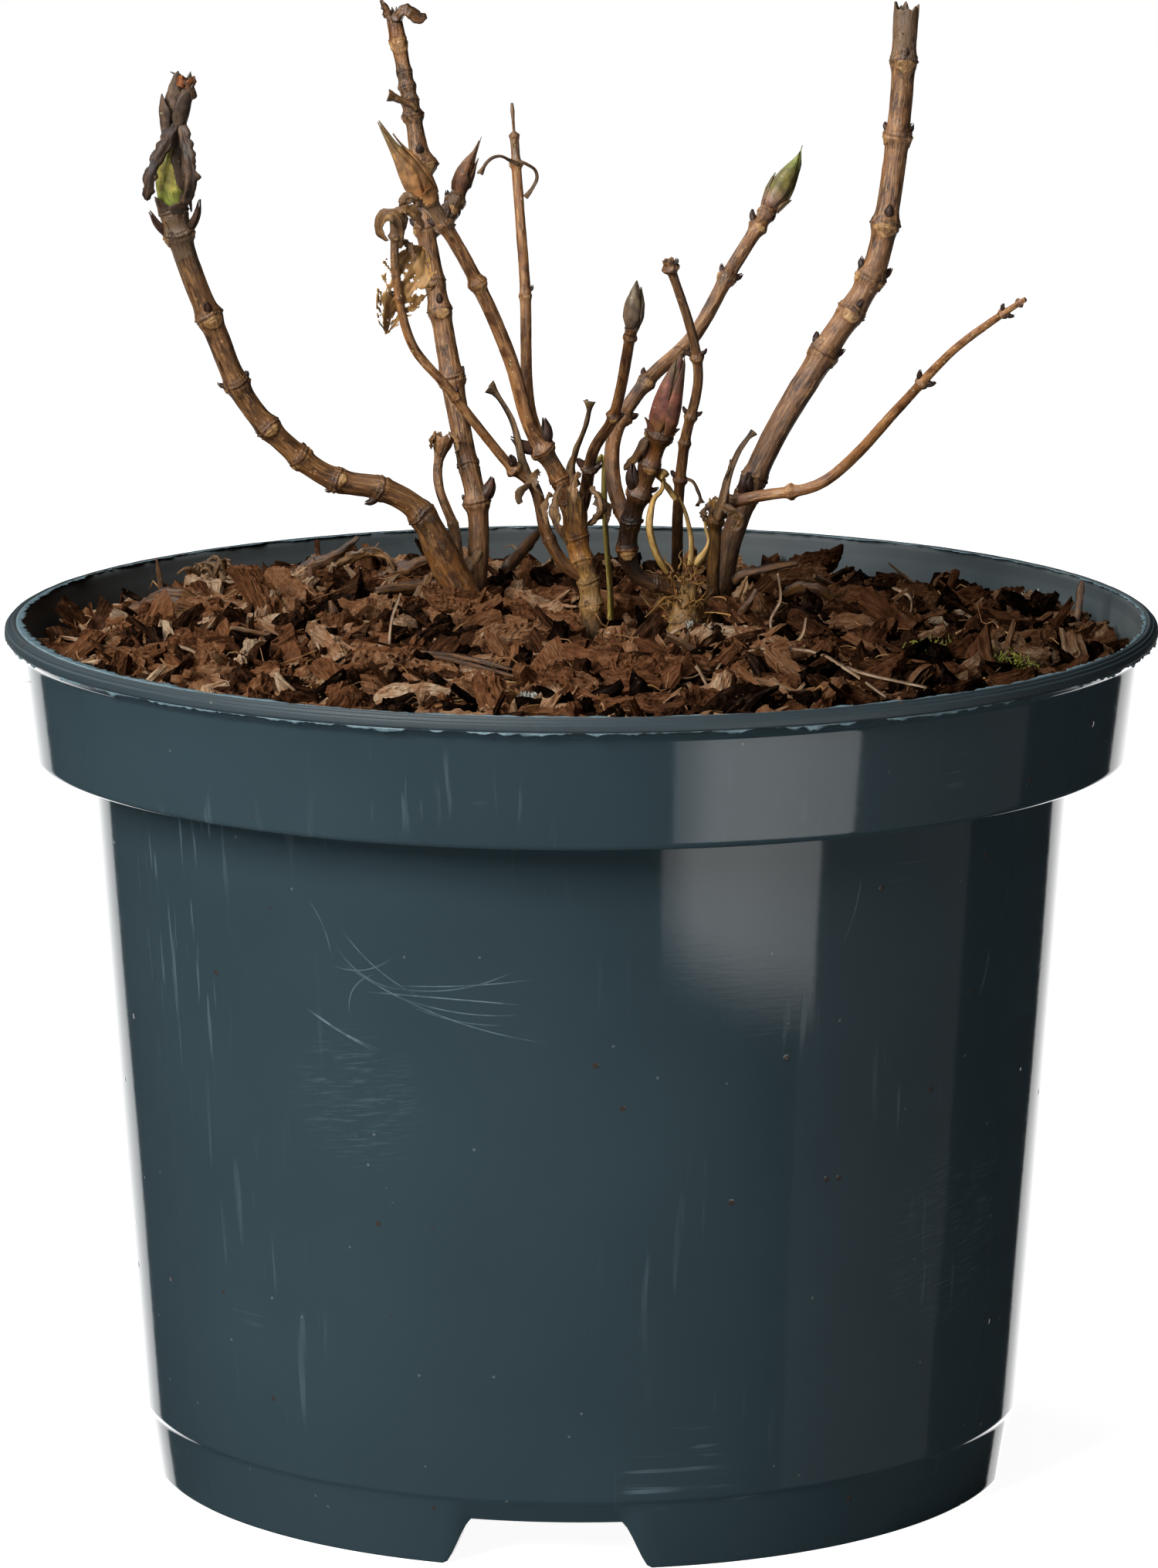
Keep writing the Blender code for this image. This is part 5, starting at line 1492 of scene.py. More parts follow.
FLAPS = (  # joints, width by share, thickness, twist, cup, seed, unevenness, grid, torn edge, facing
    (((-80.4, 3.2, 269.4), (-82.2, 1.2, 266.3), (-83.7, 0.2, 263.4), (-84.9, -0.4, 260.1),
      (-85.6, 0.2, 256.9), (-85.9, 1.2, 255)), ((0, 2), (0.25, 2.5), (0.7, 2.7), (0.93, 2.2), (1, 1)),
     0.15, 10, 0.34, 241, 0.24, FLAP_GRID, 0.3, 0),
    (((-79.2, 3, 269.3), (-78.2, 1.4, 265.6), (-77.4, 0.6, 262.2), (-77.1, 0.6, 259.2),
      (-77.6, 1.4, 256.4), (-78.8, 2.6, 254.2)), ((0, 2), (0.3, 2.9), (0.6, 3.5), (0.85, 3.2), (1, 1.4)),
     0.15, 0, 0.38, 243, 0.24, FLAP_GRID, 0.3, 22),
    (((-76.8, 4, 275), (-77.4, 3, 277), (-78.4, 3, 278.3), (-79.7, 4, 279.2), (-81.2, 5, 279.9)),
     ((0, 1.7), (0.5, 1.2), (1, 0.12)), 0.3, 0, 0.5, 242, 0.2, FLAP_GRID, 0, 0),
)
parts = [strip_along(*flap) for flap in FLAPS]
flaps = slabs("frosted_flaps", parts, FLAP_GRID, FLAP_SKIN, (0.5, 0.45, 0.15))
finish_piece(flaps, "bud_scale", "bud_wilted")
RUST = bud_material("bud_rust_skin", (160, 88, 34), (138, 78, 36), (176, 110, 54), (96, 54, 28))
parts = [scale_on(dead, dead_girth, 12.2, 14.4, turn, 34, 0.1 + 0.1 * k, 0.1, 0.3, 0.8, 2.0, 0.5, 250 + k)
         for k, turn in enumerate((-10, 45, 130))]
finish_piece(slabs("frosted_rust", parts, SCALE_GRID, RUST, 0.5), "bud_scale", "bud_wilted")

# %% Side buds
# stem: (run, bearing, length, fatness, lean outwards in degrees) of each bud
SIDE_BUDS = {
    "stem_far_left": ((41, -70, 3, 0.26, 50), (50, -80, 1.8, 0.3, 40), (59, 100, 1.6, 0.3, 35),
                      (79, -85, 2.4, 0.2, 55), (79, 90, 1.8, 0.3, 45), (95, 15, 2.6, 0.3, 25),
                      (111.5, -84, 6.4, 0.11, 28), (111.5, 78, 7.4, 0.1, 40)),
    "stem_tall_left": ((29.5, 80, 4.8, 0.3, 38), (29.5, -100, 1.8, 0.3, 40), (55, 80, 2, 0.3, 35),
                       (55, -100, 2, 0.3, 35), (70, 12, 2.2, 0.3, 22), (86.5, 85, 2, 0.3, 35),
                       (86.5, -95, 2.2, 0.3, 40), (101, 8, 2, 0.4, 20)),
    "shoot_left": ((6.8, 95, 1.8, 0.3, 50), (11.8, -95, 1.8, 0.3, 45), (3.8, -80, 1.6, 0.3, 50)),
    "stem_leaning_left": ((16.5, -88, 5.4, 0.22, 34), (16.5, 92, 5.2, 0.22, 30), (67, 85, 2.4, 0.3, 40),
                          (67, -90, 2, 0.3, 40)),
    "twig_centre": ((11, 80, 2.2, 0.3, 40), (11, -95, 2.4, 0.3, 45), (25, 90, 1.4, 0.3, 40)),
    "twig_arching": ((30, 60, 2.4, 0.35, 30), (49.5, 100, 1.4, 0.3, 40), (74.5, -85, 1.5, 0.3, 45)),
    "twig_upright": ((33, 90, 1.2, 0.3, 35),),
    "stem_red_bud": ((31, -72, 5.2, 0.27, 26), (31, 96, 2.2, 0.25, 60), (37, -90, 2, 0.3, 50),
                     (43.4, 92, 1.8, 0.4, 50), (24, 80, 1.2, 0.4, 50)),
    "stem_slant": ((27.5, 85, 2, 0.35, 45), (36.5, -95, 1.8, 0.3, 45), (65.5, 90, 2.2, 0.3, 40),
                   (65.5, -90, 1.8, 0.3, 40), (78.5, -88, 2.6, 0.26, 50)),
    "twig_wavy": ((37.5, -95, 1.6, 0.3, 40), (51.5, 85, 1.6, 0.25, 50), (51.5, -95, 1.6, 0.25, 50),
                  (64.5, 70, 2, 0.2, 55), (64.5, -100, 2.2, 0.2, 55), (84.5, 80, 1.6, 0.3, 50)),
    "stem_tall_right": ((33.5, -25, 4.4, 0.34, 26), (66.5, 84, 2.4, 0.32, 34), (66.5, -96, 2.6, 0.3, 34),
                        (77, 8, 2, 0.35, 20), (84.5, 96, 2.8, 0.3, 36), (84.5, -84, 2.8, 0.3, 36),
                        (96.5, 6, 2.4, 0.4, 18), (113.5, 92, 2.2, 0.32, 34), (113.5, -88, 2, 0.32, 34),
                        (128.5, 10, 1.8, 0.35, 20)),
    "stub_right": ((28.2, -90, 1.4, 0.3, 50),),
    "twig_far_right": ((18.4, 175, 2.8, 0.3, 30), (58.4, 84, 2.2, 0.26, 36), (58.4, -96, 2, 0.26, 36),
                       (83.4, 90, 1.6, 0.24, 40), (83.4, -90, 1.5, 0.24, 40)),
}
SIDE_GRID = (9, 6)                            # rows and columns of points on a scale of a side bud
SCALE_TIPS = (1.0, 0.93, 0.97)                # how far up the bud each of its three scales reaches
SLIM = ((0, 0.8), (0.3, 1.0), (0.6, 0.72), (1, 0.08))   # share of the length, and of the greatest radius
parts, shares = [], []
every_bud = [(label, *row) for label, rows in SIDE_BUDS.items() for row in rows]
for seed, (label, run, bearing, long, fat, lean) in enumerate(every_bud, start=300):
    girth, turn, lean = GIRTHS[label], math.radians(bearing), math.radians(lean)
    line = LINES[label]
    skin_r = float(np.interp(run, *zip(*girth)))
    root = place_at(line, run, turn, 0.72 * skin_r)
    out = place_at(line, run, turn, skin_r + 1) - place_at(line, run, turn, skin_r)
    up = place_at(line, run + 0.5, 0.0, 0.0) - place_at(line, run - 0.5, 0.0, 0.0)
    up = up / np.linalg.norm(up)
    aim = out * math.sin(lean) + up * math.cos(lean)
    mid, tip = root + out * 0.25 + aim * long * 0.5, root + out * 0.25 + aim * long * 0.85 + up * long * 0.2
    own = line_of((root, mid, tip), step=0.25)
    tall = own["run"][-1]
    slim = [(share * tall, width * fat * long) for share, width in SLIM]
    for k, tip_at in enumerate(SCALE_TIPS):
        spin = 120 * k + 30 * (seed % 4)
        parts.append(scale_on(own, slim, 0, tip_at * tall, spin, 74, 0.03 * k, 0, 0.10 + 0.02 * long,
                              0.8, 2.4, 0.12, seed + k, SIDE_GRID))
        shares.append(0.2 + 0.5 * ((seed * 7) % 5) / 5)
finish_piece(slabs("side_buds", parts, SIDE_GRID, DARK_BUD, np.array(shares)), "bud_scale")

# %% [markdown]
# ## Dry stalks, leaf scraps and fibres
# What the leaves left behind: thin twisted stalks that end in a little trumpet, straw-coloured strips,
# a leaf eaten down to its net of veins, and a beard of fibres where the stems leave the ground.  The
# stalks and strips are slabs carried along a line; the net is a leaf grid with its weak cells left out.

# %% Dry leaf materials
STALK = bark_material("bark_dry_stalk", (74, 52, 34), (116, 86, 58), (156, 122, 84), 0.06, 0.6,
                      (120, 98, 70), 2400.0)
STRAW = bark_material("bark_straw", (176, 136, 80), (214, 176, 116), (236, 210, 158), 0.04, 0.55,
                      (190, 152, 96), 2600.0)
LEAF = bark_material("bark_dry_leaf", (66, 44, 26), (122, 90, 58), (172, 134, 92), 0.10, 0.65,
                     (100, 74, 48), 1500.0)
NET = bark_material("bark_leaf_net", (120, 86, 48), (168, 126, 74), (204, 164, 104), 0.04, 0.6,
                    (150, 112, 66), 1500.0)
STRAW_GREEN = bark_material("bark_green_straw", (142, 122, 60), (188, 168, 94), (216, 200, 138), 0.04, 0.5,
                            (150, 126, 74), 2600.0)
print("dry materials:", [m.name for m in (STALK, STRAW, LEAF, NET, STRAW_GREEN)])

# %% Dry stalks
STALKS = (  # joints, width by share, thickness, twist, cup
    (((-9.9, -6, 199.6), (-11.3, -6, 202.1), (-12.2, -6, 205.7), (-13.6, -4, 210.9), (-15.6, -3, 214.8),
      (-17.4, -2, 217), (-18.6, -2, 217.9)),
     ((0, 2.6), (0.2, 1.6), (0.55, 0.95), (0.86, 0.8), (0.93, 1.3), (1, 2.6)), 0.6, 60, 0.7),
    (((-1.4, -3.6, 198.6), (-1.9, -4, 201.8), (-1.3, -5, 204.8), (-0.4, -6, 207.7), (1, -7, 211.4),
      (1.6, -7, 214.3), (1.9, -7, 216)),
     ((0, 2.8), (0.25, 1.5), (0.6, 0.9), (0.88, 0.7), (0.94, 1.1), (1, 2.4)), 0.55, -50, 0.7),
    (((27.6, 9.2, 190.6), (28.4, 8, 193.3), (29.3, 8, 198.2), (30.3, 8, 201.3), (31.6, 8, 204.1),
      (33.2, 8.5, 206.2), (34.4, 9, 207.4)),
     ((0, 3), (0.18, 2.2), (0.5, 1.2), (0.7, 0.9), (0.93, 0.7), (1, 1.7)), 0.5, 40, 0.7),
    (((30.1, 8, 201.9), (29.6, 7.2, 200.2), (28.7, 6.4, 198.2)), ((0, 0.9), (0.6, 0.5), (1, 0.1)), 0.3, 30,
     0.4),
    (((20.4, 15.6, 197.6), (20.9, 15, 197.1), (22.4, 14, 196.6), (23.5, 12.6, 194.8), (24, 11.4, 193.2),
      (24.2, 11, 192.4)), ((0, 0.9), (0.5, 0.5), (0.85, 0.5), (0.93, 1.1), (1, 2.2)), 0.4, 50, 0.6),
    (((-12.6, 4, 261.6), (-13.2, 3.6, 261.9), (-14.2, 3, 262.5), (-16.2, 1, 263.6), (-18.3, 0, 262.8),
      (-20, -1, 260.2)), ((0, 0.9), (0.3, 0.5), (0.85, 0.5), (0.95, 1.2), (1, 1.4)), 0.35, 60, 0.5),
    (((-12.9, 4.2, 261.6), (-12.1, 4.4, 262), (-10.7, 5, 261.4), (-9.2, 6, 260.3), (-8.9, 6, 258.5),
      (-10.1, 6, 256.3), (-11.2, 6, 255)), ((0, 0.8), (0.3, 0.5), (0.8, 0.5), (1, 1.2)), 0.35, -60, 0.5),
    (((-33.8, 46.2, 268.5), (-35.6, 45.6, 269.6), (-37.4, 45.2, 270.4), (-39.4, 45, 271)),
     ((0, 1.6), (0.5, 1.2), (0.8, 1.8), (1, 2.6)), 0.9, 20, 0.8),
    (((9, -1.4, 202), (10.6, -3.6, 204.2), (11.8, -4.8, 206.4), (12.6, -5.2, 208), (13.6, -5, 208.4)),
     ((0, 1.4), (0.5, 1.3), (0.8, 1.7), (1, 0.7)), 0.4, 50, 0.7),
    (((-9.6, -6.2, 199.2), (-10.5, -7.6, 199.3), (-11.6, -8.5, 198.4), (-12.2, -8.9, 197),
      (-11.8, -9, 195.9)), ((0, 1.8), (0.4, 1.1), (0.7, 1.7), (1, 0.7)), 0.3, 70, 0.8),
)
ages = 0.2 + 0.5 * np.random.default_rng(5).random(len(STALKS))
strips("dry_stalks", STALKS, 400, 0.28, STALK, ages, "stem_bark")

HORNS = (  # the two dead bud scales on the broken top of the tall stem at the left
    (((-38, 52, 286.4), (-36.4, 51.2, 287.8), (-34.8, 50.8, 287.8), (-33, 50.4, 286.6),
      (-31.6, 50.4, 286.9)), ((0, 2.4), (0.35, 2.1), (0.75, 2.3), (1, 0.5)), 0.9, 50, 0.7),
    (((-39, 52, 286.6), (-40, 51.6, 288.4), (-40.8, 51.4, 289.9)), ((0, 2), (0.5, 1.3), (1, 0.3)), 0.7, 40,
     0.5),
)
strips("tip_horns", HORNS, 420, 0.34, DARK_BARK, 0.5, "stem_bark", jag=0.2)

# %% Straw strips
STRAWS = (  # joints, width by share, thickness, twist, cup
    (((16.2, -1.6, 199.2), (16, -2.2, 197.4), (14.5, -4, 196), (13.7, -6, 193.4), (13.5, -7, 190.3),
      (14.8, -6, 185.4), (17.2, -3.6, 180.6)), ((0, 0.5), (0.1, 1), (0.5, 1.4), (0.85, 1.5), (1, 1)), 0.3,
     -40, 0.5),
    (((15.4, 2.2, 199.6), (15.9, 2, 198.8), (17.3, 1, 197.2), (18.9, 0, 195)),
     ((0, 0.5), (0.5, 1.2), (1, 1)), 0.4, 30, 0.5),
    (((19.6, 6.4, 194.6), (20.5, 6, 192.5), (21.4, 5, 189.3), (22, 4, 186.3), (21.8, 3, 181.4)),
     ((0, 0.4), (0.3, 0.8), (0.7, 1), (1, 1.2)), 0.3, 30, 0.6),
    (((24.4, 6.2, 191.2), (24.6, 6, 190), (25, 5.2, 188), (25.5, 5, 186), (24.6, 4.2, 183.4),
      (22.9, 4, 181.2)), ((0, 0.4), (0.3, 0.6), (0.6, 0.9), (0.85, 2), (1, 1.6)), 0.35, 20, 0.7),
    (((16.4, -0.6, 199), (15.4, -1.4, 200.4), (16.2, -2.2, 201.2), (17.4, -2, 200.4)),
     ((0, 1), (0.4, 1.9), (0.8, 1.8), (1, 0.6)), 0.35, 80, 0.8),
)
strips("straw_strips", STRAWS, 430, 0.12, STRAW, 0.2, "stem_bark")
green = strip_along(((4.5, 10.2, 202.4), (4.7, 10, 201.3), (4.6, 10, 192.8), (5, 9, 185), (5.7, 8, 176),
                     (6, 7.6, 168)), ((0, 1.7), (0.05, 1.2), (0.5, 1.1), (1, 1.2)), 0.5, 14, 0.9, 440, 0.1)
knot = strip_along(((4, 9.4, 202.6), (3.6, 8.8, 201.8), (3.2, 8.6, 200.8)), ((0, 0.6), (0.5, 1.2), (1, 0.5)),
                   0.5, 40, 0.8, 441, 0.2)
finish_piece(slabs("green_straw", [green, knot], STRIP_GRID, STRAW_GREEN, (0.2, 0.6)), "stem_bark")

# %% Papery scales and leaf scraps
PAPERS = (  # joints, width by share, twist
    # round the centre stump
    (((-4, -7.2, 199.2), (-5.2, -9.2, 196.4), (-5.2, -10.4, 192.8), (-3.8, -10, 189.6), (-2.8, -9, 187.4)),
     ((0, 1.2), (0.4, 2.2), (0.8, 1.6), (1, 0.5)), 40),
    (((-6.2, -6.8, 197.6), (-7.4, -8.2, 194.6), (-6.8, -9, 191.4), (-5.6, -8.4, 189.4)),
     ((0, 1), (0.5, 1.6), (1, 0.5)), 70),
    (((1.8, -6.4, 198.6), (3.4, -8, 197), (3.6, -9, 194.4), (2, -9.4, 192.2), (0.6, -8.6, 191)),
     ((0, 1), (0.4, 2.2), (0.8, 1.8), (1, 0.6)), -60),
    (((-0.4, -6.6, 201.6), (-1.6, -8.8, 199.6), (-1.4, -9.6, 196.8), (-0.6, -9, 194)),
     ((0, 0.8), (0.5, 1.8), (1, 0.6)), 20),
    (((-8.6, -5.6, 201.8), (-9.4, -8, 201), (-9, -9.4, 198.8), (-7.4, -9.6, 197.4)),
     ((0, 1), (0.5, 2), (1, 0.6)), 90),
    (((2.8, -4.4, 196), (4.4, -6, 195.4), (5.4, -7, 193.6), (5, -7.6, 191.6)),
     ((0, 1), (0.5, 1.8), (1, 0.5)), -30),
    # the curled leaf and its hood at the top of the arching twig
    (((-35.6, -24.4, 248.4), (-34.9, -25.6, 251.8), (-35.8, -26.8, 254.6), (-37.4, -26.8, 255.4),
      (-38.8, -26.2, 254), (-38.9, -25.4, 251.8), (-37.8, -24.8, 250)),
     ((0, 1.2), (0.3, 2.6), (0.6, 3), (0.85, 2.4), (1, 1)), 60),
    (((-36.2, -26.2, 254.6), (-34.6, -26.4, 256.4), (-32.8, -25.8, 255.8), (-31.4, -24.6, 253.8),
      (-30.8, -23.8, 252.2)), ((0, 1.6), (0.4, 2.6), (0.7, 1.8), (1, 0.6)), -40),
    (((-35.2, -25, 256), (-33.6, -25.8, 258.4), (-31.8, -25.6, 257.8), (-31, -25, 256.6)),
     ((0, 0.8), (0.4, 2.4), (0.8, 2), (1, 0.7)), 30),
    (((-34.6, -22.6, 249.8), (-33.2, -23.4, 248.2), (-32.4, -23.8, 245.8)),
     ((0, 0.8), (0.5, 1.8), (1, 0.5)), 50),
    # leaves that lie against the collar at the back left
    (((-52, 52, 172.4), (-47, 50, 175.6), (-42.6, 49, 176.6), (-39.6, 48, 175.6), (-38.4, 47.6, 173)),
     ((0, 0.8), (0.3, 2.2), (0.7, 2.6), (1, 0.8)), 60),
    (((-48.6, 46, 174), (-45.4, 44, 171.6), (-41, 43, 171.4), (-37, 42, 173.2)),
     ((0, 0.6), (0.4, 2), (0.8, 1.8), (1, 0.5)), -50),
    # round the crown on the right, and one at the foot of the stem at the far left
    (((33.4, 10.4, 178.4), (32.2, 9, 175.2), (30.6, 7.6, 172.2), (28, 6.2, 170.6)),
     ((0, 0.6), (0.3, 1.6), (0.7, 3.2), (1, 1.4)), 40),
    (((27.6, 7, 192.8), (29.4, 5.6, 192.4), (31.4, 5.4, 191), (31.6, 6, 188.8), (29.6, 6.8, 187.6)),
     ((0, 1.4), (0.4, 2.4), (0.8, 1.6), (1, 0.6)), 50),
    (((25.2, 6.6, 192.6), (24.4, 5.8, 191.6), (24.8, 5.4, 190)), ((0, 0.8), (0.5, 1.8), (1, 0.8)), 30),
    (((-20.6, 24, 181), (-24, 19.6, 176.4), (-25.2, 16.6, 171.4), (-24, 15.4, 167.6)),
     ((0, 1.6), (0.4, 4), (0.8, 3.4), (1, 1.2)), 30),
    # scraps of skin round the broken top of the old stub at the left
    (((-27, 30.2, 204), (-25.6, 29.4, 203.4), (-25, 29, 201.6), (-25.6, 29, 200.2)),
     ((0, 0.8), (0.5, 1.6), (1, 0.5)), 50),
    (((-28.8, 30, 204.2), (-30.2, 29.2, 203), (-30.6, 29, 201)), ((0, 0.6), (0.5, 1.3), (1, 0.4)), -40),
    # a leaf under the stem at the far left
    (((-29.4, 19.6, 178), (-32, 16, 173.4), (-31.6, 14, 169.2), (-29.8, 13.6, 166.4)),
     ((0, 1.2), (0.5, 3), (1, 1)), -30),
)
papers = [(joints, width, 0.14, twist, 0.16) for joints, width, twist in PAPERS]
ages = 0.2 + 0.6 * np.random.default_rng(6).random(len(papers))
strips("paper_scales", papers, 450, 0.3, LEAF, ages, "stem_bark", PAPER_GRID, 0.42)

# %% The leaf skeleton
NET_GRID, HALF_WIDTH, FACING = (64, 40), 5.4, math.radians(-100)   # points, mm, turn from the front
u, v = np.meshgrid(np.linspace(0, 1, NET_GRID[0]), np.linspace(-1, 1, NET_GRID[1]), indexing="ij")
leaf_line = line_of(((-31, -21.4, 248.4), (-32.6, -21, 245.2), (-35, -20.4, 240.6), (-37, -20.4, 236.2),
                     (-38.2, -20.6, 231.2)), step=0.3)
edge = 1 + 0.22 * rough(xyz(4 * u, 2 * np.sign(v), 0), 1.0, 470, 2)
half = HALF_WIDTH * np.sin(pi * u**0.8) ** 0.7 * edge
leaf = place_at(leaf_line, u * leaf_line["run"][-1], FACING + 0 * u, half * v)
waves = 1.8 * rough(xyz(2.4 * u, 1.6 * v, 0), 1.0, 471) + 1.4 * v**2
leaf = leaf + np.array([0, -1.0, 0]) * waves[..., None]
veins = np.minimum(np.abs(v) * 6, np.abs((u * 7 + 1.4 * np.abs(v)) % 1 - 0.5) * 4)
decay = 0.9 * rough(xyz(9 * u, 6 * v, 0), 1.0, 472) + 0.35 * rough(xyz(34 * u, 20 * v, 0), 1.0, 473, 1)
weak = (decay + 0.9 * np.abs(v) > 0.55 + 0.5 * (veins < 0.5)) & (veins > 0.32)
index = np.arange(u.size).reshape(u.shape)
quads = np.stack([index[:-1, :-1], index[:-1, 1:], index[1:, 1:], index[1:, :-1]], -1)
ribs = {"age": np.full(u.size, 0.1), "ring": 0.4 * (veins.ravel() < 0.3), "scar": np.full(u.size, 0.5)}
net = put_mesh("leaf_skeleton", leaf.reshape(-1, 3), quads[~weak[:-1, :-1]], NET, marks=ribs,
               places={"straight": xyz(4 * v, 0 * v, 16 * u).reshape(-1, 3) * MM})
solid = net.modifiers.new("thickness", "SOLIDIFY")
solid.thickness, solid.offset = 0.00016, 0.0
finish_piece(net, "stem_bark")


# %% Threads
def threads(name, starts, aims, lengths, radius, material, rng, wander, sag=0.0, rows=14, sides=5):
    """Many thin fibres at once: each runs from its start along its aim and wanders as it goes.

    Its wandering is a sum of sines, so it has no corners, and sag pulls its far end down.
    """
    count = len(starts)
    u = np.linspace(0, 1, rows)[None, :, None]
    aims = aims / np.linalg.norm(aims, axis=1)[:, None]
    phase, pull = rng.uniform(0, 2 * pi, (3, count, 1, 3)), rng.normal(size=(3, count, 1, 3))
    wave = sum(pull[k] * np.sin(phase[k] + (k + 1) * 2.4 * u) - pull[k] * np.sin(phase[k]) for k in range(3))
    path = starts[:, None] + lengths[:, None, None] * (aims[:, None] * u + wander * 0.25 * wave * u)
    path[..., 2] -= sag * lengths[:, None] * u[..., 0] ** 2
    heading = np.gradient(path, axis=1)
    heading /= np.linalg.norm(heading, axis=2)[..., None]
    side = np.cross(heading, np.array([0.31, 0.52, 0.8]))
    side /= np.linalg.norm(side, axis=2)[..., None]
    out = np.cross(heading, side)
    turn = np.arange(sides) * 2 * pi / sides
    girth = radius[:, None, None] * (1 - 0.6 * u**2)
    away = side[:, :, None] * np.cos(turn)[:, None] + out[:, :, None] * np.sin(turn)[:, None]
    ring = path[:, :, None] + girth[..., None] * away
    index = np.arange(rows * sides).reshape(rows, sides)
    turned = np.roll(index, -1, axis=1)
    faces = np.stack([index[:-1], turned[:-1], turned[1:], index[1:]], -1).reshape(-1, 4)
    fans = np.array([[0, sides - 1 - k, sides - 2 - k] for k in range(sides - 2)])
    last = (rows - 1) * sides
    fans = np.vstack([fans, [[last, last + k + 1, last + k + 2] for k in range(sides - 2)]])
    step = (np.arange(count) * rows * sides)[:, None, None]
    straight = xyz(np.cos(turn) * girth, np.sin(turn) * girth, u * lengths[:, None, None])
    straight = straight + np.arange(count)[:, None, None, None] * 3.1
    ones = np.ones(count * rows * sides)
    return put_mesh(name, ring.reshape(-1, 3), (faces[None] + step).reshape(-1, 4), material,
                    extra=(fans[None] + step).reshape(-1, 3),
                    marks={"age": 0.3 * ones, "ring": 0 * ones, "scar": 0 * ones},
                    places={"straight": straight.reshape(-1, 3) * MM})


# %% The fibrous crown
# piece: (how many, radius of the ring they start on, its fall with height, foot, height of the belt,
#         aim outwards, aim upwards, spread of the aims, lengths, radii, wandering, sag)
CROWN = {
    "crown_fibres": (110, 3.6, 1.2, 167, 13.5, 0.7, 1, 0.35, (1.4, 4.4), (0.1, 0.28), 0.5, 0),
    "crown_roots": (36, 3.8, 0, 165, 10, 1, 0.2, 0.5, (2.5, 6.5), (0.14, 0.36), 0.6, 0.3),
}
rng = np.random.default_rng(480)
for name, row in CROWN.items():
    count, reach, fall, foot, belt, outwards, upwards, spread, long, thick, wander, sag = row
    turn, up = rng.uniform(0, 2 * pi, count), rng.uniform(0, 1, count)
    starts = np.array([20.6, 4.2, 0]) + ring_at(reach - fall * up, turn, foot + belt * up)
    aims = ring_at(outwards, turn, upwards) + rng.normal(0, spread, (count, 3))
    lengths, radii = rng.uniform(*long, count), rng.uniform(*thick, count)
    finish_piece(threads(name, starts, aims, lengths, radii, STUMP_BARK, rng, wander, sag), "stem_bark")


# %% [markdown]
# ## What lies on the bark
# A few things catch the eye on the bark and are placed one by one: fresh pink and orange flakes turned
# to the light, a stick against the back wall, pale rootlets in arcs, upright slivers, cushions of
# moss, and a mouldy chip.  They use the same functions as the rest, with chosen places.

# %% Chosen chips
# (across, depth, length, width, thickness, yaw, pitch, roll, tone, lift); a roll faces the chip forwards
CHOSEN = np.array([
    (-61, -4, 10, 6, 1.4, 20, 5, 50, 0.92, 3.2), (-67, -11, 7, 4, 1.2, -15, 0, 48, 0.9, 2.8),
    (-32, -77, 14, 8, 1.8, -8, 0, 58, 0.86, 2.4), (-14, -20, 16, 10, 3.4, 22, 0, 34, 0.7, 2.8),
    (-20, 8, 12, 9, 4.6, 48, 0, 34, 0.66, 2.4), (-45, 16, 17, 9, 3.2, -28, 4, 24, 0.58, 2.8),
    (25, -6, 10, 5, 2.2, 22, 0, 40, 0.9, 2.6), (31, -8, 8, 5, 2, -48, 0, 42, 0.94, 2.6),
    (74, 9, 10, 4.6, 2.2, 4, 0, 46, 1.1, 2.8), (76, 28, 12, 3.4, 1.6, -6, 0, 30, 0.98, 3),
    (92, 38, 13, 6, 2.6, -48, 0, 34, 1.05, 2.8), (44, 58, 14, 4.4, 3.6, 10, 0, 20, 0.66, 5.4),
    (-4, -62, 15, 9, 3.6, 4, 0, 30, 0.66, 2.2), (12, -78, 16, 8, 3, 12, 0, 26, 0.46, 1.8),
    (-52, -58, 12, 6, 2.2, 30, 0, 34, 0.7, 2.2), (-5, 4, 10, 8, 4, -30, 0, 20, 0.6, 2.4),
    (52, 30, 13, 9, 3.6, -20, 0, 38, 0.62, 3), (34, -62, 15, 8, 3, -12, 0, 28, 0.6, 2.2),
    (60, -58, 13, 7, 2.6, 20, 0, 24, 0.6, 2), (5, 42, 8, 7, 5, 30, 10, 20, 0.3, 4),
    (-74, 22, 15, 7, 2.4, -10, 0, 30, 0.62, 2.8), (-90, 2, 12, 8, 3, 40, 0, 30, 0.54, 2),
    (-30, -44, 14, 7, 2.4, -20, 0, 26, 0.68, 2.6), (94, 58, 9, 7, 3, 30, 0, 24, 0.55, 3),
    (-25, 12, 12, 7, 3, 10, 8, 42, 0.6, 4.6), (-32, 12, 10, 6, 3, 50, 0, 30, 0.42, 3.6),
    (-15, 11, 11, 7, 4, -30, 0, 32, 0.52, 3.8), (-22, 8, 9, 5, 2.4, 70, 0, 20, 0.7, 4.2),
    (49, 77.5, 12, 4.6, 3.4, 18, -8, 24, 0.5, 5.6), (16, 18, 12, 7, 3, 60, 0, 20, 0.55, 2),
    (-36, 44, 13, 8, 3.2, 20, 0, 28, 0.62, 2.6), (86, -12, 12, 6, 2.4, -30, 0, 26, 0.62, 2.2),
    (-88, -32, 11, 7, 2.6, 60, 0, 22, 0.6, 1.8), (66, 60, 12, 6, 2.8, -16, 0, 20, 0.6, 2.6),
    (-14, 60, 14, 7, 3, 8, 0, 20, 0.6, 2.4),
])
CHOSEN_GRID = (22, 14)                        # rows and columns of points on a chosen chip
x, y, length, width, thick, yaw, pitch, roll, tones, lift = CHOSEN.T
rng = np.random.default_rng(61)
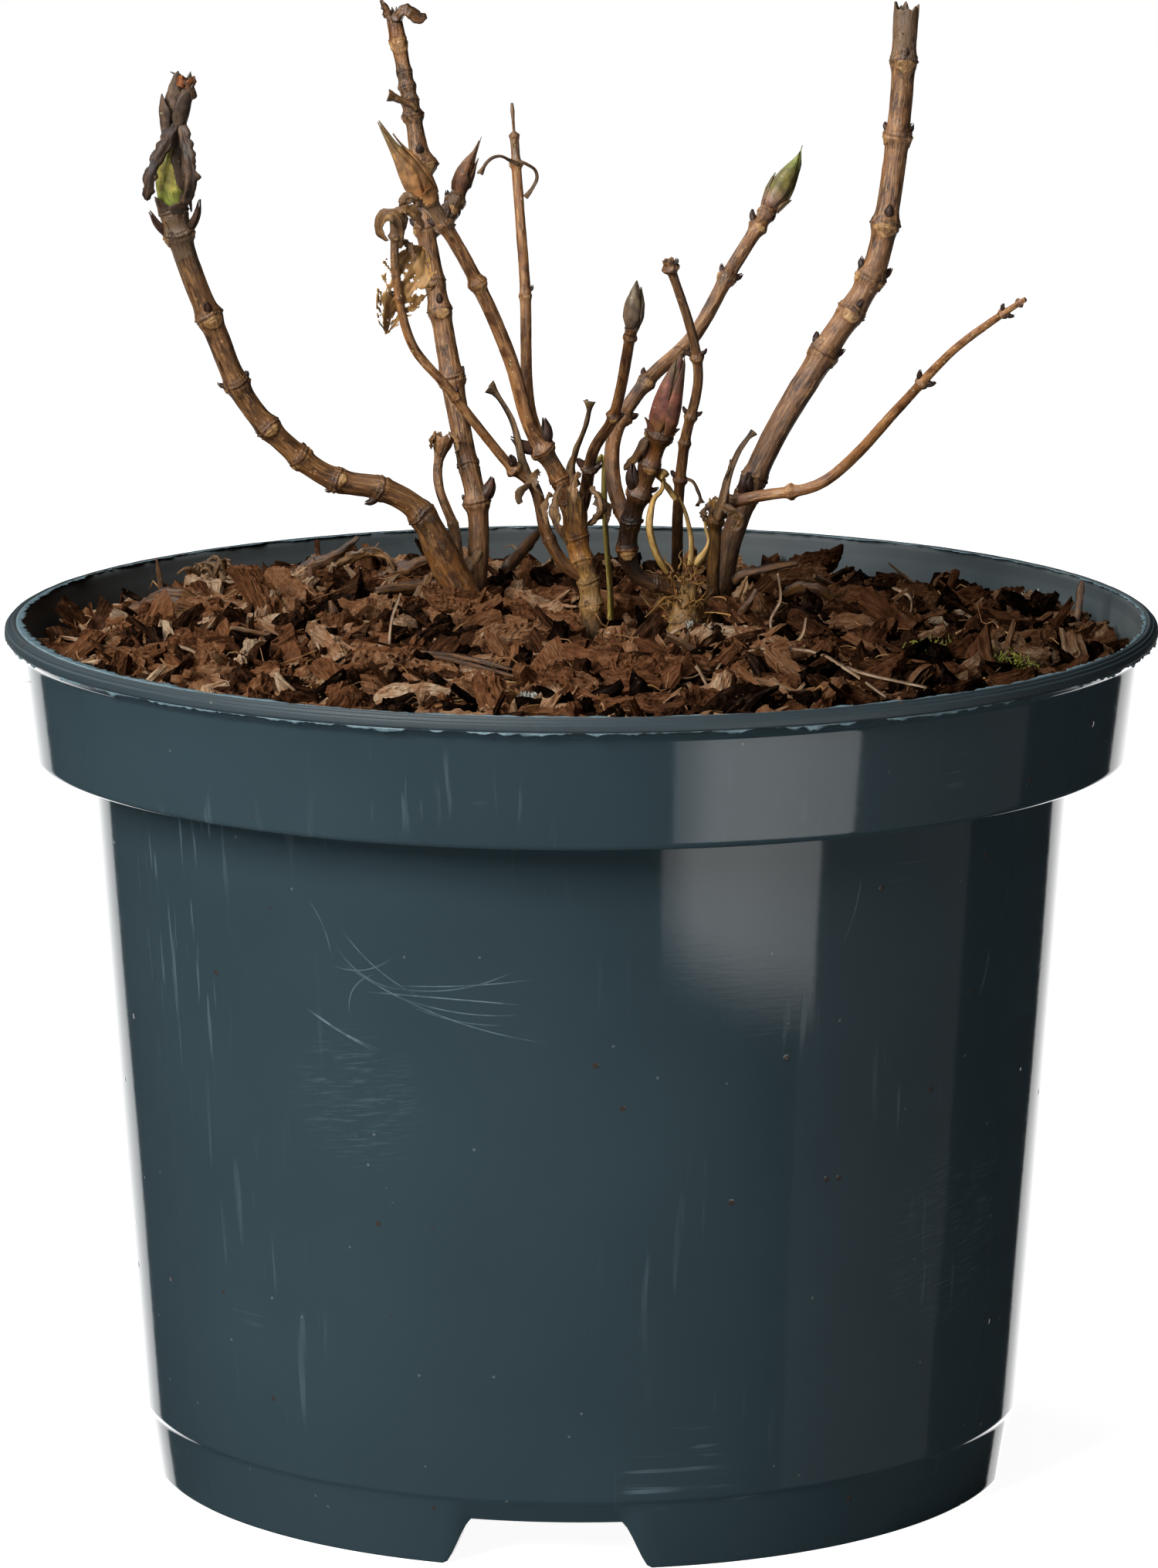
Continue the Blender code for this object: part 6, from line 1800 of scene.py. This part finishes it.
shapes = chip_shapes(rng, length, width, thick, *CHOSEN_GRID, relief=0.13)
placed = lay(shapes, x, y, lift, *np.radians([yaw, pitch, roll]))
chips = chip_piece("bark_chosen", shapes, placed, *CHOSEN_GRID, rng, tones, BARK_CHIP)
finish_piece(chips, "bark_mulch", "bark_mulch")

# %% Sticks, slivers and rootlets
ROOT_SKIN = bark_material("bark_rootlet", (112, 84, 60), (160, 132, 104), (206, 184, 160), 0.06, 0.5,
                          (140, 112, 86), 2600.0)
SLIVER = bark_material("bark_sliver", (52, 32, 18), (94, 62, 36), (136, 98, 62), 0.06, 0.6,
                       (80, 54, 32), 2200.0)
FIBRE = bark_material("bark_fibre", (84, 56, 32), (138, 98, 62), (184, 146, 102), 0.04, 0.6,
                      (110, 78, 50), 2600.0)
STICKS = (  # joints, width, thickness
    (((-15.6, 42, 174), (-12, 50, 177), (-8.8, 58, 179.6)), 2.3, 1.6),
    (((-85, 32, 165), (-85.8, 32, 172), (-86.6, 32.2, 178)), 1.1, 0.8),
    (((-55, 44, 165), (-55.6, 44, 170), (-55.8, 44.4, 174.4)), 1.5, 0.9),
    (((-47.6, 4, 165), (-49, 4, 170), (-50.4, 4.4, 174)), 2, 0.9),
    (((-92, 20, 169), (-84, 22, 171), (-76, 20, 170)), 2, 1.4),
    (((18, -30, 166), (20, -32, 170), (21, -33, 174)), 1.4, 1),
    (((-42, 30, 171.6), (-30, 34, 172.4), (-20, 30, 171.6)), 1.8, 1.4),
    (((100, 22, 165), (101, 24, 170), (101.6, 25, 174.6)), 1.6, 1.2),
    (((-34, -34, 170.4), (-24, -43, 171), (-13, -50, 169.6)), 0.9, 0.7),
    (((-33, -37, 170.4), (-25, -46, 170.8), (-12, -56, 169.2)), 0.7, 0.6),
)
sticks = [(joints, ((0, wide * 0.7), (0.1, wide), (0.8, wide * 0.9), (1, wide * 0.3)), thick, 10, 0.2)
          for joints, wide, thick in STICKS]
strips("slivers", sticks, 500, 0.1, SLIVER, 0.4, "bark_mulch", jag=0.1)
ROOTLETS = (  # joints
    ((27, -50, 168.6), (33, -38, 171.2), (44, -41, 171.8), (51, -57, 171), (58, -74, 168.6)),
    ((26, -51, 169.6), (29, -42, 170.8), (35, -40, 171)),
    ((39.2, -15, 168), (37.4, -13, 172.4), (39.4, -12, 177), (38.8, -12, 182.2)),
    ((41, -19, 168.4), (43.6, -16, 170.4), (44.4, -14, 173.6)),
    ((-79, -28, 170.4), (-75.4, -35, 170.4), (-72.6, -44, 169)),
    ((-75.6, 2, 170.6), (-70.6, 0, 171.4), (-65, -8, 169.8)),
    ((64, 36, 171.2), (66.8, 25, 171.2), (66.4, 12, 169.4)),
    ((-38, -17, 168), (-37.6, -14, 173), (-35.8, -13, 178.4)),
    ((22, -52, 171), (22.8, -60, 171), (24.6, -72, 169.2)),
    ((48, -46, 171), (54, -60, 170.8), (66, -68, 169.4)),
)
rootlets = [(joints, ((0, 0.65), (0.5, 0.55), (1, 0.25)), 0.45, 40, 0.5) for joints in ROOTLETS]
strips("rootlets", rootlets, 520, 0.1, ROOT_SKIN, 0.2, "bark_mulch")
red = ((31, 12, 176.6), (32.1, 11.4, 177.9), (35.2, 11, 179), (38.3, 11, 179.6), (43.4, 12.4, 180.4))
red_root = (red, ((0, 1.7), (0.5, 1.3), (1, 0.9)), 1.2, 20, 0.5)
strips("red_root", [red_root], 540, 0.22, SLIVER, 0.1, "bark_mulch")

# %% Curled scraps on the bark
SCRAPS = (  # joints, width by share, twist
    (((-90, 30, 168), (-86, 27, 170.8), (-81, 26, 171.4), (-77, 27, 169.4)),
     ((0, 1.6), (0.5, 3.4), (1, 1.4)), 30),
    (((-62, 54, 170), (-56, 52, 173), (-50, 51, 176), (-46, 51, 179.4)),
     ((0, 1.6), (0.4, 3), (0.8, 2), (1, 0.6)), 50),
    (((-42, 50, 171), (-36, 48, 173.6), (-31, 48, 175.4)), ((0, 1.6), (0.5, 3.4), (1, 1.2)), -30),
    (((41, 30, 170.4), (44, 27, 172.6), (48, 25, 172.8), (51, 26, 170.6)), ((0, 1.4), (0.5, 3), (1, 1.4)),
     20),
    (((30, 2, 170), (33, 0, 173.6), (35, 0, 177)), ((0, 0.8), (0.5, 1.6), (1, 0.5)), 60),
)
scraps = [(joints, width, 0.7, twist, 0.2) for joints, width, twist in SCRAPS]
strips("curled_scraps", scraps, 550, 0.14, SLIVER, 0.4, "bark_mulch", PAPER_GRID, 0.2)

# %% A star of dry moss
rng, tufts = np.random.default_rng(570), []
for _ in range(16):
    hub = np.array([-75.0, 50.0, 171.5]) + rng.uniform(-4, 4, 3) * [1, 1, 0.2]
    reach = rng.normal(0, 1, 3) * [3.4, 2.0, 1.6] + [0, -1, 1.6]
    joints = (hub, hub + reach * 0.5 + [0, 0, 1.2], hub + reach)
    tufts.append((joints, ((0, 0.7), (0.5, 1.1), (1, 0.3)), 0.3, 40, 0.3))
strips("dry_moss_tufts", tufts, 571, 0.3, STALK, 0.2, "bark_mulch")

# %% Loose fibres
rng = np.random.default_rng(600)
x, y = scatter(rng, 900, 104.0)
turn = rng.uniform(0, 2 * pi, len(x))
starts = xyz(x, y, ground(x, y) + rng.uniform(2.2, 5.0, len(x)))
aims = xyz(np.cos(turn), np.sin(turn), rng.normal(0, 0.22, len(x)))
lengths, radii = rng.uniform(3, 11, len(x)), rng.uniform(0.10, 0.30, len(x))
fibres = threads("bark_fibres", starts, aims, lengths, radii, FIBRE, rng, 0.5, 0.08, rows=7, sides=4)
finish_piece(fibres, "bark_mulch")

# %% Moss and mould
MOSS = bark_material("bark_moss", (52, 52, 14), (104, 104, 30), (160, 158, 66), 0.04, 0.7,
                     (86, 84, 30), 2600.0)
MOULD = bark_material("bark_mould", (120, 122, 112), (166, 168, 158), (206, 208, 198), 0.04, 0.8,
                      (140, 142, 132), 2600.0)
CUSHIONS = {  # piece: (spots (across, depth, half width, half depth, how many), material, lengths, seed)
    "moss": (((70, -23, 7, 4, 420), (77, -27, 4, 3, 160), (84, -36, 5, 3, 200)), MOSS, (0.8, 2.2), 580),
    "mould": (((94, 56, 4, 3, 180), (-10, -77, 2.4, 1.6, 130), (21.6, -2.4, 1.2, 1.2, 40)), MOULD,
              (0.5, 1.3), 590),
}
for label, (spots, skin_of, long, seed) in CUSHIONS.items():
    rng = np.random.default_rng(seed)
    x, y = np.concatenate([np.array([across, depth]) + rng.normal(0, 0.42, (count, 2)) * [wide, deep]
                           for across, depth, wide, deep, count in spots]).T
    starts = xyz(x, y, ground(x, y) + rng.uniform(2.6, 5.4, len(x)))
    aims = rng.normal(0, 0.6, (len(x), 3)) + [0, -0.3, 1.0]
    lengths, radii = rng.uniform(*long, len(x)), rng.uniform(0.14, 0.30, len(x))
    hairs = threads(label, starts, aims, lengths, radii, skin_of, rng, 0.6, 0.0, rows=6, sides=4)
    finish_piece(hairs, "bark_mulch")
